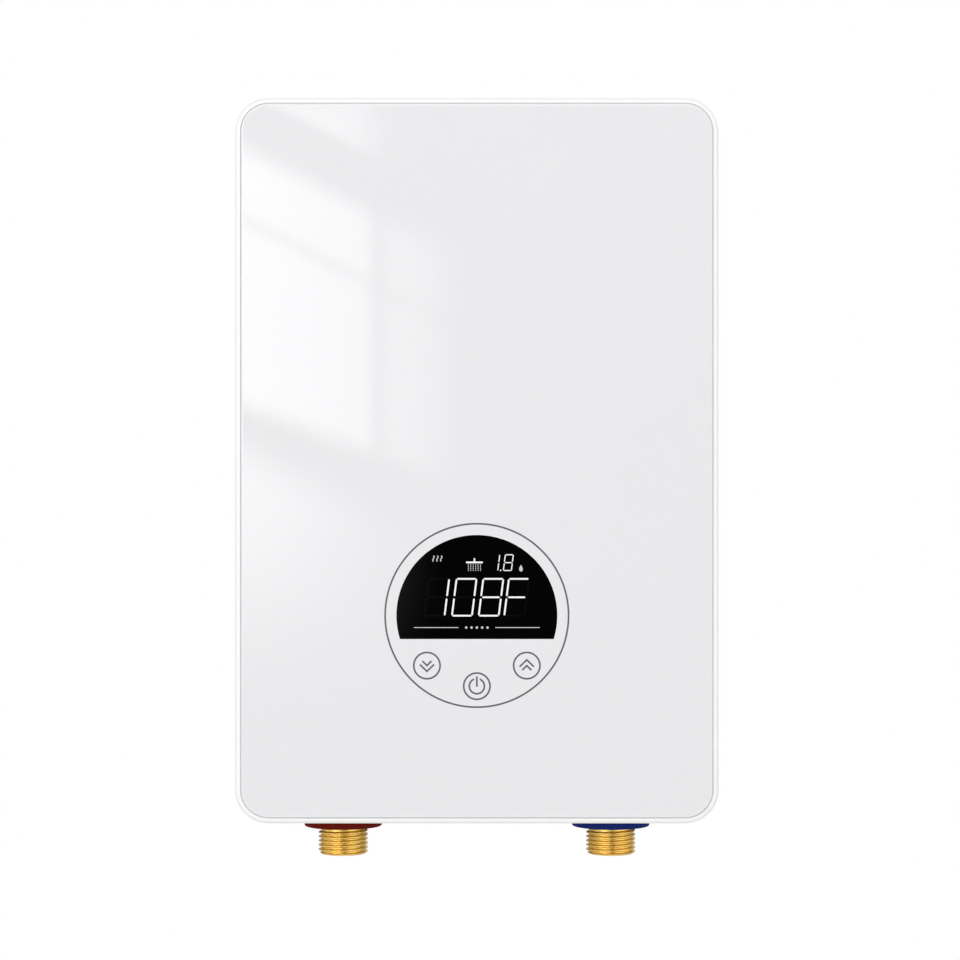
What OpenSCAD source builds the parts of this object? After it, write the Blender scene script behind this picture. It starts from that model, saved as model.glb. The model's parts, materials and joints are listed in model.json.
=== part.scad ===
// Wall-hung instantaneous electric water heater, in millimetres.
// X is to the right as the user faces it, Y runs into the wall, Z is up.
// The origin is the middle of the back, on the wall. A depth is measured from the wall to the front.

/* [Case] */
// Width of the case
body_w = 200; // [192:1:230]
// Height of the case
body_h = 300; // [280:1:350]
// Depth from the wall to the front of the glass
body_d = 70; // [63:1:84]
// Depth of the front cover, from the seam to the front of the glass
cover_depth = 18; // [17:0.5:20]
// Radius of the case corners, seen from the front
corner_r = 14; // [11:0.5:18]
// Thickness of the side walls
wall = 2.6; // [2.4:0.1:3.2]
// Thickness of the back wall
rear_wall = 3; // [2.4:0.1:4]
// Thickness of the cover's front wall, behind the glass
front_wall = 2.4; // [1.8:0.1:3]
// Rounding of the cover's front edge
edge_r = 2; // [1:0.1:2.1]
// Rounding of the back edge
back_edge_r = 2; // [1:0.1:2.3]

/* [Seam and cover screws] */
// Width of the shadow line between the two shells
part_line = 0.5; // [0.3:0.1:1]
// Thickness of the tongue inside the seam
tongue_t = 1.2; // [1:0.1:1.5]
// Height of the tongue
tongue_h = 2; // [1.5:0.1:2.5]
// Thickness of the seal on the tongue
seal_t = 1; // [0.6:0.1:1.5]
// Gap between the tongue and the cover's lip
seam_clear = 0.2; // [0.1:0.05:0.3]
// Distance of the cover screws from the edges of the case
post_inset = 14; // [12:0.5:18]
// Radius of the screw posts
post_r = 5.5; // [5:0.1:6.5]
// Shank radius of a cover screw
cover_screw_r = 1.9; // [1.4:0.1:2.2]
// Clearance round a cover screw
cover_screw_clear = 0.15; // [0.1:0.05:0.4]
// Head radius of a cover screw
cover_head_r = 3.8; // [3:0.1:4]
// Head height of a cover screw
cover_head_h = 2.6; // [2:0.1:3]
// Depth of the recess for a cover screw's head
cover_head_sink = 8; // [5:0.5:12]
// Length of a cover screw inside the cover
cover_bite = 8; // [5:0.5:9]

/* [Glass front] */
// Thickness of the glass
glass_t = 3; // [2.5:0.1:4]
// Width of the white rim, from the case edge to the glass
glass_margin = 2.7; // [2.5:0.1:3.5]
// Gap all round the glass
glass_gap = 0.5; // [0.3:0.1:0.6]
// Thickness of the printed film behind the glass
film_t = 0.2; // [0.1:0.05:0.4]
// Thickness of the adhesive frame
tape_t = 0.5; // [0.3:0.1:0.8]
// Width of the adhesive frame
tape_w = 9; // [5:0.5:12]
// How far the rim lies behind the glass surface
rim_drop = 0.4; // [0.2:0.1:0.8]

/* [Control panel] */
// Height of the control ring's centre above the bottom of the case
display_rise = 86.2; // [80:0.1:92]
// Radius of the round display window
window_r = 33; // [30:0.5:34]
// Distance of the window's straight lower edge below its centre
window_cut = 9.5; // [8:0.5:11]
// How far the light box reaches past the window
window_lap = 1.2; // [0.6:0.1:1.5]
// Gap round the light box and the touch pads in the opening of the cover
panel_hole_clear = 1.8; // [1:0.1:3]
// Radius of a touch pad
pad_r = 4.5; // [3:0.1:5]
// Sideways distance of the down and up keys from the centre
key_x = 20.6; // [18:0.1:22]
// Distance of the down and up keys below the centre
key_drop = 20.7; // [18:0.1:22]
// Distance of the power key below the centre
power_drop = 29.2; // [28:0.1:30]
// Width of the display board
panel_board_w = 84; // [82:1:90]
// Height of the display board
panel_board_h = 76; // [74:1:82]
// Thickness of a circuit board
board_t = 1.6; // [1.2:0.1:2]
// Length of the posts that carry the display board
panel_post_h = 6; // [5:0.1:7]
// Radius of those posts
panel_post_r = 3.4; // [3:0.1:4]
// Distance of those posts from the edges of the display board
panel_post_inset = 5; // [4:0.1:6]

/* [Wall mounting] */
// Distance between the two keyholes
keyhole_gap = 140; // [130:1:150]
// Distance of the keyholes' round openings below the top of the case
keyhole_drop = 38; // [34:1:44]
// Radius of the round openings
keyhole_r = 4.75; // [4.5:0.05:5.5]
// Radius of the slot above each opening
slot_r = 2.5; // [2.2:0.1:2.8]
// Length of that slot, between centres
slot_rise = 9; // [8:0.5:10]
// Depth of the closed pocket behind a keyhole
pocket_d = 8; // [6:0.5:9]
// Wall of that pocket
pocket_wall = 1.6; // [1.2:0.1:2]
// Room inside the pocket round the keyhole
pocket_room = 2; // [1:0.5:3]
// Distance between the two lower wall holes
lower_gap = 168; // [164:1:172]
// Height of the lower wall holes above the bottom of the case
lower_rise = 38; // [34:1:44]
// Radius of the lower wall holes
lower_r = 2.5; // [2.2:0.1:3]

/* [Water connections] */
// Distance between the two pipe axes
fitting_gap = 114; // [112:0.5:118]
// Outside radius of the G1/2 pipe thread
thread_r = 10.4775; // [10.4775:0.0001:10.478]
// Pitch of that thread
thread_pitch = 1.814; // [1.814:0.001:1.815]
// Depth of that thread
thread_depth = 1.162; // [1:0.001:1.162]
// Length of each fitting below the case
fitting_drop = 17.1; // [14:0.1:20]
// Radius of the water passages
bore_r = 7; // [6:0.1:7.2]
// Radius of the plain shank above the thread
shank_r = 10.2; // [9.8:0.05:10.3]
// Clearance round that shank in the collar and the case
shank_clear = 0.4; // [0.3:0.05:0.6]
// Radius of the coloured collars
collar_r = 16.5; // [14:0.5:18]
// Thickness of the coloured collars
collar_t = 5.2; // [3:0.1:6]
// Chamfer of the collars
collar_bevel = 0.6; // [0.3:0.1:1]
// Radius of the flange inside the case
flange_r = 15; // [14:0.1:16]
// Thickness of that flange
flange_t = 3; // [2:0.1:4]
// Thickness of the gasket under the flange
gasket_t = 1.5; // [1:0.1:2]
// Wall of the spigots that plug into the sockets
spigot_wall = 2; // [1.8:0.05:2.3]
// Length of a spigot
spigot_len = 12; // [10:0.5:13]
// Clearance between a spigot and its socket
socket_clear = 0.05; // [0.03:0.01:0.1]
// Thickness of an O-ring
oring_t = 1.4; // [1:0.1:1.6]
// Clearance of an O-ring in its groove
oring_clear = 0.03; // [0.02:0.01:0.05]
// Length of the flow sensor and of the outlet block
joint_len = 46; // [44:0.5:50]
// Outside radius of the flow sensor and of the outlet block
joint_r = 13; // [12:0.1:13.5]
// Depth of the recess for the strainer's lip
strainer_seat = 2.5; // [2:0.1:4]
// Length of the strainer's basket
strainer_len = 13; // [10:0.5:16]
// Thickness of the strainer's wall
strainer_wall = 1; // [0.8:0.1:1.2]
// Width of the strainer's slots
strainer_slot = 1.2; // [0.8:0.1:1.6]

/* [Heating] */
// Outside radius of a heating chamber
chamber_r = 17; // [16:0.1:17.3]
// Thickness of a chamber's wall
chamber_wall = 1.5; // [1.2:0.1:2]
// Length of a chamber
chamber_len = 180; // [170:1:190]
// Thickness of a chamber's bottom
base_t = 3; // [2:0.1:4]
// Thickness of a chamber's top
cap_t = 6; // [4:0.1:8]
// Outside radius of the crossover pipe
cross_r = 8; // [6:0.1:8.5]
// Thickness of the crossover pipe
cross_wall = 1.2; // [1:0.1:1.6]
// Distance of the crossover pipe below the chambers' top
cross_drop = 18; // [16.5:0.1:20]
// Length of the collars that hold the crossover pipe
cross_collar = 6; // [4:0.1:8]
// Radius of an element's rod
rod_r = 3.3; // [3:0.1:4]
// Bend radius of an element
bend_r = 7.5; // [6.5:0.1:8]
// Gap between an element's bend and the chamber's bottom
bend_gap = 6; // [4:0.5:10]
// Radius of an element's plug
plug_r = 13; // [12.5:0.1:13.5]
// Width across the corners of the plug's hexagon
plug_hex_w = 35; // [33:0.1:36]
// Height of the plug's hexagon
plug_hex_h = 8; // [6:0.1:10]
// Thickness of the washer under the plug
plug_washer_t = 1.5; // [1:0.1:2]
// Radius of a terminal stud
stud_r = 2; // [1.6:0.1:2.4]
// Height of a terminal stud above the plug
stud_h = 14; // [13:0.5:18]
// Radius of a ceramic insulator
insulator_r = 4; // [3.4:0.1:4.5]
// Height of a ceramic insulator
insulator_h = 5; // [4:0.1:6]

/* [Straps and heat sink] */
// Thickness of a chamber strap
strap_t = 1.2; // [1:0.1:1.3]
// Width of a chamber strap
strap_w = 10; // [8:0.5:12]
// Length of a strap's feet
foot_len = 10; // [9:0.1:10.5]
// Height of the lower straps above the chambers' bottom
strap_low = 28; // [26:0.5:30]
// Distance of the upper straps below the crossover pipe
strap_drop = 24; // [20:0.5:28]
// Radius of a strap boss
boss_r = 3.5; // [3:0.1:4]
// Clearance of a chamber in its saddle and straps
saddle_clear = 0.05; // [0.03:0.01:0.1]
// Radius of the small screws
small_screw_r = 1.4; // [1.2:0.05:1.6]
// Head radius of the small screws
small_head_r = 2.7; // [2.4:0.1:3]
// Head height of the small screws
small_head_h = 1.8; // [1.4:0.1:2.2]
// Length of a small screw in its boss
small_bite = 7; // [5:0.5:9]
// Clearance of a small screw in its hole
small_clear = 0.1; // [0.05:0.05:0.2]
// Thickness of the heat sink outside the chamber
sink_t = 8; // [7.5:0.1:9]
// Width of the heat sink, across the chamber
sink_w = 24; // [20:0.5:26]
// Height of the heat sink
sink_h = 46; // [42:0.5:50]
// Height of the heat sink's middle above the chambers' bottom
sink_rise = 84; // [80:0.5:88]
// Thickness of a triac
triac_t = 5; // [4.5:0.1:5.5]
// Width of a triac
triac_w = 16; // [14:0.5:18]
// Length of a triac's case
triac_len = 20; // [18:0.5:21]
// Distance between the two triacs
triac_pitch = 22; // [20:0.5:24]

/* [Flow sensor] */
// Radius of the rotor's axle
axle_r = 1; // [0.8:0.05:1.2]
// Running clearance of the rotor on its axle
rotor_fit = 0.05; // [0.02:0.01:0.1]
// Gap between the rotor's blades and the sensor's bore
rotor_gap = 0.65; // [0.4:0.05:1]
// Radius of the rotor's hub
rotor_hub_r = 3; // [2.5:0.1:3.5]
// Number of blades
blades = 6; // [4:1:8]
// Thickness of a blade
blade_t = 1.1; // [0.8:0.1:1.4]
// Slant of a blade
blade_tilt = 35; // [20:1:45]
// Thickness of an axle carrier
carrier_t = 4; // [3:0.1:5]
// End play of the rotor
end_play = 0.3; // [0.2:0.05:0.5]
// How far the magnetic pickup stands out from the sensor
pickup_out = 6; // [5:0.1:8]
// Width of the pickup
pickup_w = 10; // [8:0.5:12]
// Height of the pickup
pickup_h = 12; // [10:0.5:14]

/* [Thermal cut-out] */
// Room between the set reset button and the cover
cover_room = 7.1; // [5:0.1:9]
// How far the cut-out's seat stands in front of the outlet block's round body
cutout_land = 1; // [0.5:0.1:2]
// Thickness of the plate that carries the cut-out
cutout_pad_t = 4; // [3:0.1:5]
// Radius of the cut-out
cutout_r = 8.7; // [8:0.1:9.5]
// Height of the cut-out
cutout_h = 8; // [7:0.1:9]
// Thickness of the cut-out's fixing plate
cutout_plate_t = 0.8; // [0.6:0.1:1]
// Distance of the cut-out's screws from its middle
cutout_screw_x = 13; // [12.5:0.1:14]
// Radius of the reset button
reset_r = 2.3; // [2:0.1:2.6]
// Clearance of the reset button
reset_clear = 0.1; // [0.05:0.01:0.15]
// Travel of the reset button
reset_travel = 1.5; // [1:0.1:2]
// How far the set button stands out
reset_out = 1; // [0.6:0.1:1.4]

/* [Main board] */
// Height of the main board's stand-offs above the back wall
board_rise = 7; // [6:0.1:8]
// Height of the main board's lower edge above the fitting flanges
board_lift = 41.5; // [40:0.5:44]
// Gap between the main board and the strap feet
board_gap = 1; // [0.6:0.1:2]
// Gap between neighbouring parts on the board
part_gap = 4; // [3:0.1:5]
// Width of the relay
relay_w = 20; // [18:0.5:21]
// Height of the relay, along the board
relay_h = 26; // [24:0.5:28]
// Thickness of the relay, in front of the board
relay_t = 16; // [14:0.5:18]
// Distance of the relay from the board's edge
relay_inset = 3; // [2:0.1:4]
// Height of the transformer's lower edge above the board's
transformer_rise = 62; // [60:0.5:66]
// Width of the transformer
transformer_w = 18; // [16:0.5:19]
// Height of the transformer, along the board
transformer_h = 20; // [18:0.5:22]
// Thickness of the transformer, in front of the board
transformer_t = 14; // [12:0.5:16]
// Radius of a filter capacitor
capacitor_r = 6; // [5:0.1:6.5]
// Length of a filter capacitor
capacitor_len = 20; // [16:0.5:22]
// Width of the line capacitor
line_cap_w = 18; // [15:0.5:18]
// Height of the line capacitor, along the board
line_cap_h = 8; // [6:0.5:9]
// Thickness of the line capacitor, in front of the board
line_cap_t = 14; // [11:0.5:15]
// Side of the controller chip
chip_w = 10; // [7:0.5:12]
// Thickness of the controller chip
chip_t = 1.6; // [1:0.1:2]
// Length of a driver chip
driver_len = 8; // [6:0.5:9]
// Width of a driver chip
driver_w = 6; // [5:0.5:7]
// Thickness of a driver chip
driver_t = 3.4; // [2:0.1:4]
// Height of a blade tab
tab_h = 8; // [7:0.1:9]
// Width of a blade tab
tab_w = 6.3; // [4.8:0.1:6.5]
// Thickness of a blade tab
tab_t = 0.8; // [0.5:0.1:1]
// Height of the display socket
socket_h = 9; // [8:0.1:11]
// Height of a sensor socket
small_socket_h = 7; // [6:0.1:9]

/* [Wiring] */
// Radius of a power lead
lead_r = 1.7; // [1.4:0.1:2]
// Radius of a sensor lead
thin_r = 1.1; // [0.9:0.1:1.3]
// Depth of the cable entry's axis
cable_d = 16; // [15:0.5:17]
// Radius of the cable entry's bore
cable_r = 5.5; // [4.5:0.1:6]
// Radius of the hole for the grommet
grommet_r = 8; // [7.5:0.1:9]
// Width of the grommet's flanges
grommet_lip = 2.5; // [2:0.1:3]
// Thickness of the grommet's flanges
grommet_t = 2; // [1.5:0.1:2.5]
// Clearance of the grommet in its hole
grommet_clear = 0.05; // [0.02:0.01:0.1]
// Distance of the cable clamp's screws from the cable
clamp_x = 13; // [12:0.5:15]
// Depth of the terminal block
block_t = 20; // [18:0.5:21]
// Height of the terminal block
block_h = 20; // [18:0.5:20]
// Distance between the terminals
pole_pitch = 14; // [12:0.5:14.5]
// Thickness of the terminal block's ears
ear_t = 4; // [3:0.1:5]
// Height of the cable clamp
clamp_h = 7; // [6:0.1:8]
// Width of the display ribbon
ribbon_w = 14; // [12:0.5:15]
// Thickness of the display ribbon
ribbon_t = 1; // [0.8:0.1:1.2]
// Width of the ribbon's plugs
plug_w = 18; // [16:0.5:19]
// Thickness of the ribbon's plugs
plug_t = 4.2; // [3.5:0.1:5]

/* [Hidden] */
$fn = 64;

// Length by which a cut reaches past the face that it opens
over = 1;

// Case: half sizes, and the depths of the layers behind the glass
half_w = body_w / 2;
half_h = body_h / 2;
film_d = body_d - glass_t - film_t;
recess_d = film_d - tape_t;
cover_in = recess_d - front_wall;
rim_d = body_d - rim_drop;
rear_depth = body_d - cover_depth;
cover_back = rear_depth + part_line;
seam_d = rear_depth + tongue_h + seal_t;
lip_inset = wall - tongue_t - seam_clear;
floor_z = wall - half_h;
post_x = half_w - post_inset;
post_z = half_h - post_inset;
cover_hole_r = cover_screw_r + cover_screw_clear;
cover_head_well_r = cover_head_r + 2 * cover_screw_clear;
cross_slot_w = 0.9;
cross_slot_deep = 1.4;
cross_slot_len = 1.3 * cover_head_r;
cover_rib_t = 1.6;
cover_rib_h = 3;
rib_depth = [cover_in - cover_rib_h, cover_in + over];
rib_start = 20;
keyhole_z = half_h - keyhole_drop;
lower_z = lower_rise - half_h;

// Control panel
display_z = display_rise - half_h;
key_reach = max(norm([key_x, key_drop]), power_drop) + pad_r;
panel_hole_r = max(window_r + window_lap, key_reach) + panel_hole_clear;
panel_board_d = cover_in - panel_post_h;
panel_post_x = panel_board_w / 2 - panel_post_inset;
panel_post_z = panel_board_h / 2 - panel_post_inset;
film_clear = 0.1;
panel_chip_t = 2;
panel_chip_w = 14;
panel_chip_x = -23;
panel_driver_w = 12;
panel_driver_h = 8;
panel_driver_x = 24;
panel_driver_rise = 12;

// Water path, from the case's floor upwards; the cut-out's button and the cover set the depth of its axes
pipe_d = cover_in - cover_room - reset_out - cutout_h - cutout_plate_t - cutout_land - joint_r;
pipe_x = fitting_gap / 2;
flange_z = floor_z + gasket_t;
seat_z = flange_z + flange_t;
spigot_top = seat_z + spigot_len;
chamber_z = seat_z + joint_len;
chamber_top = chamber_z + chamber_len;
spigot_r = bore_r + spigot_wall;
socket_r = spigot_r + socket_clear;
joint_mid = seat_z + joint_len / 2;
joint_rib_w = 1.5;
joint_rib_t = 0.8;
joint_rib_gap = 4;
pickup_x = pipe_x - joint_r - pickup_out;
pickup_wrap = 3;
nipple_z = -half_h - fitting_drop;
relief_gap = 0.6;
relief_z = -half_h - collar_t - relief_gap;
thread_turns = floor((relief_z - nipple_z) / thread_pitch);
crest = 0.2;
flank = 0.3;
groove_play = 0.4;
groove_w = oring_t + groove_play;
groove_r = socket_r - oring_t - 2 * oring_clear;
strainer_lip = 1;
strainer_lip_r = bore_r + strainer_lip;
strainer_lip_t = 1.2;
strainer_clear = 0.1;
strainer_play = 0.6;
strainer_r = bore_r - strainer_play;
strainer_in_r = strainer_r - strainer_wall;

// Heating chambers
cross_z = chamber_top - cross_drop;
cross_collar_wall = 2.5;
cross_collar_r = cross_r + cross_collar_wall;
cross_end = pipe_x - chamber_r + chamber_wall;
plug_z = chamber_top + plug_washer_t;
hex_top = plug_z + plug_hex_h;
insulator_top = hex_top + insulator_h;
lug_t = 1;
lug_z = insulator_top + lug_t / 2;
lug_len = 14;
barrel_r = 2.2;
barrel_len = 7;
barrel_lap = 1;
barrel_end = pipe_x - lug_len;
nut_h = 3.2;
nut_r = 1.9 * stud_r;
washer_inset = 1;
earth_tab_len = 9;
earth_tab_rise = 8;
bend_z = chamber_z + base_t + bend_gap + rod_r + bend_r;

// Straps, bosses and heat sink
strap_in_r = chamber_r + saddle_clear;
foot_x = chamber_r + strap_t + foot_len / 2;
foot_end = chamber_r + strap_t + foot_len;
boss_d = pipe_d - strap_t;
small_hole_r = small_screw_r + small_clear;
strap_levels = [chamber_z + strap_low, cross_z - strap_drop];
saddle_inset = 3;
saddle_w = strap_w - saddle_inset;
saddle_half = chamber_r - saddle_inset;
saddle_drop = 6;
sink_z = chamber_z + sink_rise;
sink_x = pipe_x - chamber_r - sink_t;
triac_levels = span(sink_z, triac_pitch);
triac_screw_d = 4;
triac_screw_len = 4.5;
triac_leg_pitch = 5;
triac_leg_w = 1.2;
triac_leg_t = 0.8;
triac_leg_inset = 1;
triac_leg_x = sink_x - triac_t + triac_leg_inset;
tip_room = 0.5;

// Rotor
rotor_r = socket_r - rotor_gap;
carrier_rim = 1.5;
carrier_leg_w = 1.4;
carrier_hub_r = 2.4;
axle_room = 0.5;
rotor_z = spigot_top + carrier_t + end_play;
rotor_len = joint_len - 2 * (spigot_len + carrier_t + end_play);
carrier_levels = [spigot_top, chamber_z - spigot_len - carrier_t];

// Thermal cut-out, in front of the outlet block
cutout_d = pipe_d + joint_r + cutout_land;
cutout_base = cutout_d + cutout_plate_t;
cutout_front = cutout_base + cutout_h;
reset_flange = 1.4;
reset_lip = 0.8;
reset_gap = 0.1;
reset_room = reset_flange + reset_travel + 3 * reset_gap;
reset_floor_t = 1.5;
reset_floor = cutout_base + reset_floor_t;
cutout_plate_margin = 4;
cutout_plate_w = 2 * (cutout_screw_x + cutout_plate_margin);
cutout_plate_h = 12;
cutout_pad_h = 18;
cutout_neck_w = 20;
cutout_neck_h = 16;
cutout_screw_len = 4.5;
cutout_tab_row = 4;
cutout_tab_back = 6;
cutout_tab_front = 1.2;
cutout_screws_x = [-pipe_x - cutout_screw_x, -pipe_x + cutout_screw_x];

// Temperature sensor: a threaded probe through a boss on the outlet block's inner side
probe_boss_r = 6.5;
probe_boss_len = 1.5;
probe_r = 3;
probe_len = 8;
probe_tip_r = 2;
probe_tip_gap = 1;
probe_hex_r = 5.8;
probe_hex_h = 4;
probe_tail_r = 2.6;
probe_tail_len = 4;
probe_seat = -pipe_x + joint_r + probe_boss_len;

// Main board and what stands on it
board_d = rear_wall + board_rise;
board_front = board_d + board_t;
board_half = pipe_x - foot_end - board_gap;
board_z = seat_z + board_lift;
transformer_z = board_z + transformer_rise;
relay_x = relay_inset - board_half;
relay_z = transformer_z + transformer_h + part_gap;
relay_top = relay_z + relay_h;
top_tab_z = relay_top + 2 * part_gap;
board_top = top_tab_z + 4 * part_gap;
board_hole_side = 4;
board_hole_end = 5;
board_hole_x = board_half - board_hole_side;
board_hole_rows = [board_z + board_hole_end, board_top - board_hole_end];
tab_d = board_front + tab_h;
low_tab_rise = 6;
low_tab_z = board_z + low_tab_rise;
tab_inset = 8;
tab_pitch = 12;
outer_tab_x = board_half - tab_inset;
inner_tab_x = outer_tab_x - tab_pitch;
top_tabs = [-outer_tab_x, -inner_tab_x, inner_tab_x, outer_tab_x];
bobbin_t = 4;
core_w = 12;
core_h = 16;
iron_h = 10;
iron_t = 6;
capacitor_lift = 9;
capacitor_gap = 2.8;
capacitor_x = relay_x + relay_w + capacitor_gap + capacitor_r;
line_cap_x = 13;
line_cap_rise = 11;
driver_rise = 53;
socket_d = board_front + socket_h;
socket_wall = 2;
small_socket_d = board_front + small_socket_h;
small_socket_w = 7;
small_socket_len = 6;
small_socket_inset = 4;
small_socket_x = board_half - small_socket_inset;
socket_rise = 22;
socket_pitch = 14;
socket_levels = [board_z + socket_rise, board_z + socket_rise + socket_pitch];
small_sockets = [
    [small_socket_x, socket_levels[0]],
    [-small_socket_x, socket_levels[0]],
    [-small_socket_x, socket_levels[1]]
];

// Ribbon between the two boards, with a plug in the socket and a header on the display board
plug_clear = 0.2;
socket_floor_t = 1.5;
plug_floor = board_front + socket_floor_t;
plug_grip = 3;
plug_end = socket_d + plug_grip;
header_h = 5;
header_d = panel_board_d - board_t - header_h;
ribbon_bow = 4;
ribbon_steps = 16;

// Terminal block, cable clamp and grommet
block_rise = 5;
block_back = rear_wall + block_rise;
block_front = block_back + block_t;
block_lift = 14;
block_z = floor_z + block_lift;
block_top = block_z + block_h;
block_mid_d = block_back + block_t / 2;
block_mid_z = block_z + block_h / 2;
block_side = 2;
block_half = 1.5 * pole_pitch + block_side;
ear_w = 8;
ear_x = block_half + ear_w / 2;
ear_end = block_half + ear_w;
ear_inset = 4;
well_d = 7;
well_clear = 0.6;
pole_hole_clear = 0.8;
pole_hole_len = 12;
pole_screw_len = 2.5;
poles = [-pole_pitch, 0, pole_pitch];
clamp_gap = 2;
clamp_arch_t = 3;
clamp_z = floor_z + grommet_t + clamp_gap;
clamp_d = cable_d - clamp_arch_t;
clamp_front = cable_d + cable_r + clamp_arch_t;
clamp_mid_z = clamp_z + clamp_h / 2;

// Limits of a width w about a middle c
function span(c, w) = [c - w / 2, c + w / 2];

// Drawing helpers: a box from its limits, and shapes that run along the depth
module box(x, d, z) translate([x[0], -d[1], z[0]]) cube([x[1] - x[0], d[1] - d[0], z[1] - z[0]]);
module slab(d0, d1) translate([0, -d0, 0]) rotate([90, 0, 0]) linear_extrude(d1 - d0) children();
module rod(x, z, r, d0, d1) translate([x, -d0, z]) rotate([90, 0, 0]) cylinder(r = r, h = d1 - d0);
module upright(x, d, r, z0, z1) translate([x, -d, z0]) cylinder(r = r, h = z1 - z0);
module across(x0, x1, d, z, r) translate([x0, -d, z]) rotate([0, 90, 0]) cylinder(r = r, h = x1 - x0);
module on_pipe(side) translate([side * pipe_x, -pipe_d, 0]) children();

// Outline of the case, drawn in by an inset
module panel(inset = 0) {
    w = body_w - 2 * inset;
    h = body_h - 2 * inset;
    r = corner_r - inset;
    square([w - 2 * r, h], center = true);
    square([w, h - 2 * r], center = true);
    for (sx = [-1, 1], sz = [-1, 1]) translate([sx * (w / 2 - r), sz * (h / 2 - r)]) circle(r);
}

module frame(inset, width) difference() {
    panel(inset);
    panel(inset + width);
}

// Section of a rounded case edge, from a corner's centre outwards
module edge_section(r) {
    square([corner_r - r, r]);
    intersection() {
        translate([corner_r - r, 0]) circle(r);
        square([corner_r, r]);
    }
}

// Layer of the case outline whose far edge is rounded by its own thickness
module rounded_layer(r) {
    cx = half_w - corner_r;
    cz = half_h - corner_r;
    translate([-cx, -cz, 0]) cube([2 * cx, 2 * cz, r]);
    for (turn = [0, 180]) rotate(turn) {
        translate([cx, cz, 0]) rotate([90, 0, 0]) linear_extrude(2 * cz) edge_section(r);
        translate([-cx, cz, 0]) rotate([90, 0, 90]) linear_extrude(2 * cx) edge_section(r);
        translate([cx, cz, 0]) rotate_extrude(angle = 90) edge_section(r);
        translate([-cx, cz, 0]) rotate(90) rotate_extrude(angle = 90) edge_section(r);
    }
}

module at_posts() for (sx = [-1, 1], sz = [-1, 1]) translate([sx * post_x, 0, sz * post_z]) children();
module at_straps() for (sx = [-1, 1], level = strap_levels) translate([sx * pipe_x, 0, level]) children();

// Screw along the depth: its head in front of the seat, its shank behind it
module front_screw(x, z, seat, length, r = small_screw_r, head_r = small_head_r, head_h = small_head_h) {
    rod(x, z, head_r, seat, seat + head_h);
    rod(x, z, r, seat - length, seat);
}

module rear_housing() color("white") difference() {
    union() {
        difference() {
            union() {
                translate([0, -back_edge_r, 0]) rotate([-90, 0, 0]) rounded_layer(back_edge_r);
                slab(back_edge_r, rear_depth) panel();
            }
            slab(rear_wall, rear_depth + over) panel(wall);
        }
        slab(rear_depth, rear_depth + tongue_h) frame(wall - tongue_t, tongue_t);
        at_posts() rod(0, 0, post_r, back_edge_r, rear_depth);
        for (sx = [-1, 1]) keyhole_pocket(sx * keyhole_gap / 2);
        at_straps() {
            for (side = [-1, 1]) rod(side * foot_x, 0, boss_r, rear_wall - over, boss_d);
            box([-saddle_half, saddle_half], [rear_wall - over, pipe_d - saddle_drop], span(0, saddle_w));
        }
        for (sx = [-1, 1]) {
            for (z = board_hole_rows) rod(sx * board_hole_x, z, boss_r, rear_wall - over, board_d);
            rod(sx * ear_x, block_mid_z, boss_r, rear_wall - over, block_back);
            rod(sx * clamp_x, clamp_mid_z, boss_r, rear_wall - over, clamp_d);
        }
    }
    at_posts() {
        rod(0, 0, cover_hole_r, -over, rear_depth + over);
        rod(0, 0, cover_head_well_r, -over, cover_head_sink);
    }
    for (sx = [-1, 1]) {
        keyhole(sx * keyhole_gap / 2, -over, rear_wall + over / 2);
        rod(sx * lower_gap / 2, lower_z, lower_r, -over, rear_wall + over);
        upright(sx * pipe_x, pipe_d, shank_r + shank_clear, -half_h - over, floor_z + over);
        for (z = board_hole_rows) small_hole(sx * board_hole_x, z, board_d);
        small_hole(sx * ear_x, block_mid_z, block_back);
        small_hole(sx * clamp_x, clamp_mid_z, clamp_d);
        for (level = strap_levels) {
            for (side = [-1, 1]) small_hole(sx * pipe_x + side * foot_x, level, boss_d);
            upright(sx * pipe_x, pipe_d, strap_in_r, level - strap_w, level + strap_w);
        }
    }
    upright(0, cable_d, grommet_r, -half_h - over, floor_z + over);
}

// Hole for a small screw that goes in from the front
module small_hole(x, z, d)
    rod(x, z, small_hole_r, max(d - small_bite - tip_room, rear_wall / 2), d + over);

module keyhole(x, d0, d1) {
    rod(x, keyhole_z, keyhole_r, d0, d1);
    rod(x, keyhole_z + slot_rise, slot_r, d0, d1);
    box([x - slot_r, x + slot_r], [d0, d1], [keyhole_z, keyhole_z + slot_rise]);
}

// Closed pocket that keeps a wall screw's head away from the live parts
module keyhole_pocket(x) {
    room = keyhole_r + pocket_room;
    z0 = keyhole_z - room;
    z1 = keyhole_z + slot_rise + room;
    difference() {
        box([x - room - pocket_wall, x + room + pocket_wall], [rear_wall / 2, rear_wall + pocket_d],
            [z0 - pocket_wall, z1 + pocket_wall]);
        box([x - room, x + room], [rear_wall, rear_wall + pocket_d - pocket_wall], [z0, z1]);
    }
}

module cover_seal() color("dimgray")
    slab(rear_depth + tongue_h, seam_d) frame(wall - tongue_t, tongue_t);

// Long screws that hold the cover from the back
module cover_screws() color("silver") at_posts() difference() {
    union() {
        rod(0, 0, cover_head_r, cover_head_sink - cover_head_h, cover_head_sink);
        rod(0, 0, cover_screw_r, cover_head_sink, rear_depth + cover_bite);
    }
    slab(0, cover_head_sink - cover_head_h + cross_slot_deep) {
        square([cross_slot_w, cross_slot_len], center = true);
        square([cross_slot_len, cross_slot_w], center = true);
    }
}

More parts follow.
